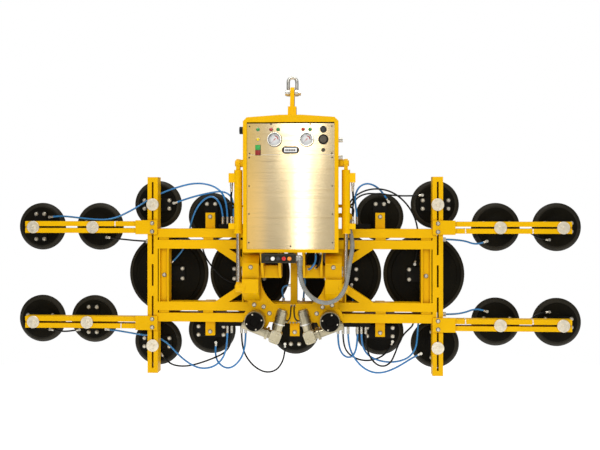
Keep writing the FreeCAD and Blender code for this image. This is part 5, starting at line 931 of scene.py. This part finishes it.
# Indicator lamps: domed lenses in flat bezels
LAMP_PLACES = [(-0.182, -0.305), (-0.182, -0.361), (-0.1085, -0.305), (-0.0695, -0.305), (0.0695, -0.305),
               (0.1085, -0.305)]


def indicator_lamps():
    bezels = bmesh.new()
    lenses = bmesh.new()
    for x, z in LAMP_PLACES:
        turned(bezels, [(0.0, 0.0), (0.0114, 0.0), (0.0114, 0.0014), (0.0108, 0.0024), (0.0098, 0.0028), (0.0095, 0.0018),
                        (0.0, 0.0018)], (x, PANEL_FACE, z), (0, -1, 0), 36)
        turned(lenses, [(0.0, 0.0), (0.0094, 0.0), (0.0094, 0.0058), (0.0084, 0.0082), (0.0064, 0.0100), (0.0034, 0.0112),
                        (0.0, 0.0116)], (x, PANEL_FACE, z), (0, -1, 0), 36)
    finished("lamp_bezels", bezels, STAINLESS, "bail", 30.0, ["indicator_lamps"])
    finished("lamp_lenses", lenses, LAMP, "bail", 40.0, ["indicator_lamps"])


indicator_lamps()

# Black rubber strip between the panels and the opening of the bail: a painted shadow under the bail's top lip
OPENING_HALF = 0.244
OPENING_TOP = -0.2654
bm = bmesh.new()
cornered(bm, (-OPENING_HALF + 0.0005, PANEL_FACE - 0.0030, OPENING_TOP - 0.0062), (OPENING_HALF - 0.0005, PANEL_FACE, OPENING_TOP),
         0.0012)
finished("panel_painted_shadow", bm, RUBBER, "bail")

# Vacuum gauges: dial faces with marks and a red zone
GAUGE_PLACES = (-0.089, 0.089)
GAUGE_Z = -0.361
DIAL_FACE = -0.184
DIAL_RADIUS = 0.0342
DIAL_MARKS = 31
DIAL_SWEEP = math.radians(270.0)


def gauge_dials():
    faces = bmesh.new()
    rings = bmesh.new()
    marks = bmesh.new()
    zones = bmesh.new()
    for x in GAUGE_PLACES:
        turned(faces, [(0.0022, 0.0), (0.0022, 0.0003), (DIAL_RADIUS, 0.0003), (DIAL_RADIUS, 0.0)],
               (x, DIAL_FACE, GAUGE_Z), (0, -1, 0), 48)
        for step in range(DIAL_MARKS):
            long_mark = step % 5 == 0
            inner = 0.0225 if long_mark else 0.0255
            half = 0.0006 if long_mark else 0.00035
            made = bmesh.ops.create_cube(marks, size=1.0)["verts"]
            size = Matrix.Diagonal((2 * half, 0.0003, 0.0295 - inner, 1.0))
            out = Matrix.Translation((0.0, 0.0, (0.0295 + inner) / 2))
            turn = Matrix.Rotation(DIAL_SWEEP * (step / (DIAL_MARKS - 1) - 0.5), 4, "Y")
            place = Matrix.Translation((x, DIAL_FACE - 0.0003, GAUGE_Z))
            bmesh.ops.transform(marks, matrix=place @ turn @ out @ size, verts=made)
        strip = [zones.verts.new((x + radius * math.sin(0.1), DIAL_FACE - 0.0004, GAUGE_Z + radius * math.cos(0.1)))
                 for radius in (0.0165, 0.0215)]
        edge = zones.edges.new(strip)
        bmesh.ops.spin(zones, geom=strip + [edge], axis=(0, 1, 0), cent=(x, DIAL_FACE, GAUGE_Z), dvec=(0, 0, 0),
                       angle=math.radians(85.0), steps=16, use_merge=False)
        # The black inner wall of each rim is painted shade inside the bezel; a second black ring lies round the gauge's
        # foot on the panel.
        turned(rings, [(0.0346, 0.0003), (0.0346, 0.0200), (0.0335, 0.0200), (0.0322, 0.0014), (0.0322, 0.0003), (0.0346, 0.0003)],
               (x, DIAL_FACE, GAUGE_Z), (0, -1, 0), 48)
        turned(rings, [(0.0388, 0.0), (0.0418, 0.0), (0.0418, 0.0022), (0.0408, 0.0032), (0.0388, 0.0032), (0.0388, 0.0)],
               (x, PANEL_FACE, GAUGE_Z), (0, -1, 0), 56)
    finished("gauge_rings", rings, INSTRUMENT, "bail", 30.0)
    finished("gauge_dials", faces, DIAL_WHITE, "bail")
    finished("gauge_marks", marks, INSTRUMENT, "bail")
    finished("gauge_red_zones", zones, NEEDLE, "bail")


gauge_dials()

# Hour meter window, buzzer grille and key lock
METER_Z = -0.420
METER_FACE = -0.190
bm = bmesh.new()
cornered(bm, (-0.0355, METER_FACE - 0.0008, METER_Z - 0.0122), (0.0355, METER_FACE + 0.001, METER_Z + 0.0122), 0.0006)
finished("meter_window", bm, DIAL_WHITE, "bail")
bm = bmesh.new()
for step in range(6):
    x = -0.0285 + step * 0.0095
    cornered(bm, (x, METER_FACE - 0.0011, METER_Z - 0.0070), (x + 0.0075, METER_FACE - 0.0004, METER_Z + 0.0040), 0.0002)
finished("meter_wheels", bm, METER_GREY, "bail")
BUZZER_X = 0.182
BUZZER_FACE = -0.197
bm = bmesh.new()
turned(bm, [(0.0, 0.0), (0.0195, 0.0), (0.0195, 0.0006), (0.0185, 0.0012), (0.0165, 0.0012), (0.0160, 0.0004),
            (0.0, 0.0004)], (BUZZER_X, BUZZER_FACE, GAUGE_Z), (0, -1, 0), 40)
for step in range(-3, 4):
    z = GAUGE_Z + step * 0.0046
    half = math.sqrt(0.0162 ** 2 - (step * 0.0046) ** 2)
    cornered(bm, (BUZZER_X - half, BUZZER_FACE - 0.0016, z - 0.0011), (BUZZER_X + half, BUZZER_FACE, z + 0.0011), 0.0004)
finished("buzzer_grille", bm, METER_GREY, "bail")
LOCK_FACE = -0.189
bm = bmesh.new()
turned(bm, [(0.0, 0.0), (0.0112, 0.0), (0.0112, 0.0015), (0.0098, 0.0028), (0.0094, 0.0084), (0.0086, 0.0092),
            (0.0055, 0.0092), (0.0052, 0.0085), (0.0, 0.0085)], (BUZZER_X, PANEL_FACE, METER_Z), (0, -1, 0), 40)
finished("key_lock", bm, SCREW_STEEL, "bail", 30.0)
# A black sliver on the lock's face: painted shade standing for the keyhole.
bm = bmesh.new()
cornered(bm, (BUZZER_X - 0.0006, LOCK_FACE - 0.0008, METER_Z - 0.0038), (BUZZER_X + 0.0006, LOCK_FACE, METER_Z + 0.0038), 0.0002)
finished("key_slot_painted_shade", bm, INSTRUMENT, "bail")


# Start and stop keys: square caps on round stems
KEY_X = -0.182


def square_key(name, z, material, node):
    bm = bmesh.new()
    turned(bm, [(0.0, 0.0), (0.011, 0.0), (0.011, 0.0180), (0.0, 0.0180)], (KEY_X, -0.173, z), (0, -1, 0), 40)
    cornered(bm, (KEY_X - 0.0142, -0.1946, z - 0.0136), (KEY_X + 0.0142, -0.1902, z + 0.0136), 0.0014, 3)
    finished(name, bm, material, node + "_body", 35.0, [node])


bm = bmesh.new()
turned(bm, [(0.0, 0.0), (0.011, 0.0), (0.011, 0.0174), (0.0176, 0.0174), (0.0186, 0.0186), (0.0186, 0.0226), (0.0174, 0.0250),
            (0.0140, 0.0266), (0.0080, 0.0274), (0.0, 0.0276)], (-KEY_X, -0.173, -0.305), (0, -1, 0), 48)
finished("mute_key", bm, BUTTON_BLACK, "mute_button_body", 35.0, ["mute_button"])
square_key("start_key", -0.406, BUTTON_GREEN, "start_button")
square_key("stop_key", -0.434, STOP_RED, "stop_button")


# Pendant: a ring round each button
PENDANT_FRONT = -0.207
PENDANT_Z = -1.022
PENDANT_BUTTONS = [-0.128 + 0.0308 * step for step in range(5)]


def pendant_bezels():
    bm = bmesh.new()
    for x in PENDANT_BUTTONS:
        turned(bm, [(0.0112, 0.0), (0.0144, 0.0), (0.0144, 0.0030), (0.0134, 0.0042), (0.0118, 0.0042), (0.0112, 0.0032),
                    (0.0112, 0.0)], (x, PENDANT_FRONT, PENDANT_Z), (0, -1, 0), 40)
    finished("pendant_bezels", bm, BEZEL_GREY, "bail", 30.0)


pendant_bezels()

# Floor and light
FLOOR_Z = -2.35
FLOOR_RADIUS = 4.5
STUDIO_FILL = 0.22
FLOOR_GLOW = 0.55


def make_stage():
    bm = bmesh.new()
    bmesh.ops.create_circle(bm, cap_ends=True, segments=96, radius=FLOOR_RADIUS, matrix=Matrix.Translation((0, 0, FLOOR_Z)))
    mesh = bpy.data.meshes.new("floor")
    bm.to_mesh(mesh)
    bm.free()
    floor = bpy.data.objects.new("floor", mesh)
    bpy.context.scene.collection.objects.link(floor)
    white = finish("floor_white", (0.88, 0.88, 0.87), (0.92, 0.92, 0.91), rough=(0.7, 0.85), tone_scale=0.5, grain=0.02)
    glow = white.node_tree.nodes["Principled BSDF"]
    glow.inputs["Emission Color"].default_value = (1.0, 1.0, 1.0, 1.0)
    glow.inputs["Emission Strength"].default_value = FLOOR_GLOW
    mesh.materials.append(white)
    world = bpy.data.worlds.new("studio")
    bpy.context.scene.world = world
    world.use_nodes = True
    tree = world.node_tree
    backdrop = tree.nodes["Background"]
    backdrop.inputs["Color"].default_value = (1.0, 1.0, 1.0, 1.0)
    rays = tree.nodes.new("ShaderNodeLightPath")
    tree.links.new(spread(tree, rays.outputs["Is Camera Ray"], STUDIO_FILL, 1.0, 0.0, 1.0), backdrop.inputs["Strength"])
    bpy.context.scene.view_settings.view_transform = "Standard"


def softbox(name, place, aim, wide, tall, power, diffuse=True, glossy=True):
    """A soft area light; a reflection card lights no matt surface, and a hidden one shows in no reflection."""
    data = bpy.data.lights.new(name, "AREA")
    data.shape = "RECTANGLE"
    data.size = wide
    data.size_y = tall
    data.energy = power
    light = bpy.data.objects.new(name, data)
    bpy.context.scene.collection.objects.link(light)
    light.location = place
    light.rotation_euler = (Vector(aim) - Vector(place)).to_track_quat("-Z", "Y").to_euler()
    light.visible_diffuse = diffuse
    light.visible_glossy = glossy
    return data


make_stage()
softbox("key_light", (-2.4, -4.6, 3.2), (0, 0, -0.9), 1.6, 1.4, 74.0)
softbox("fill_light", (2.6, -4.8, 2.6), (0, 0, -0.9), 1.6, 1.4, 64.0)
softbox("front_light", (0.1, -6.4, 0.5), (0, 0, -0.8), 1.4, 1.2, 128.0, True, False)
softbox("top_light", (0.0, -0.8, 3.2), (0, 0, -1.0), 3.6, 1.6, 90.0)
softbox("back_light", (0.0, 5.0, 2.4), (0, 0, -0.9), 4.0, 2.0, 110.0)
softbox("front_card", (0.0, -8.0, -0.4), (0, 0, -0.6), 6.0, 5.0, 40.0, False)
softbox("low_strip", (-0.22, -6.0, -0.75), (-0.22, 0, -0.75), 0.17, 2.6, 6.4, False)
softbox("high_strip", (-0.24, -6.0, 0.55), (-0.24, 0, 0.55), 0.56, 1.2, 8.0, False)
softbox("high_card", (-0.37, -6.1, 0.25), (-0.37, 0, 0.25), 1.3, 0.75, 0.75, False)
softbox("warm_card", (-0.90, -6.1, -0.90), (-0.90, 0, -0.90), 0.40, 1.1, 0.75, False).color = (1.0, 0.72, 0.30)
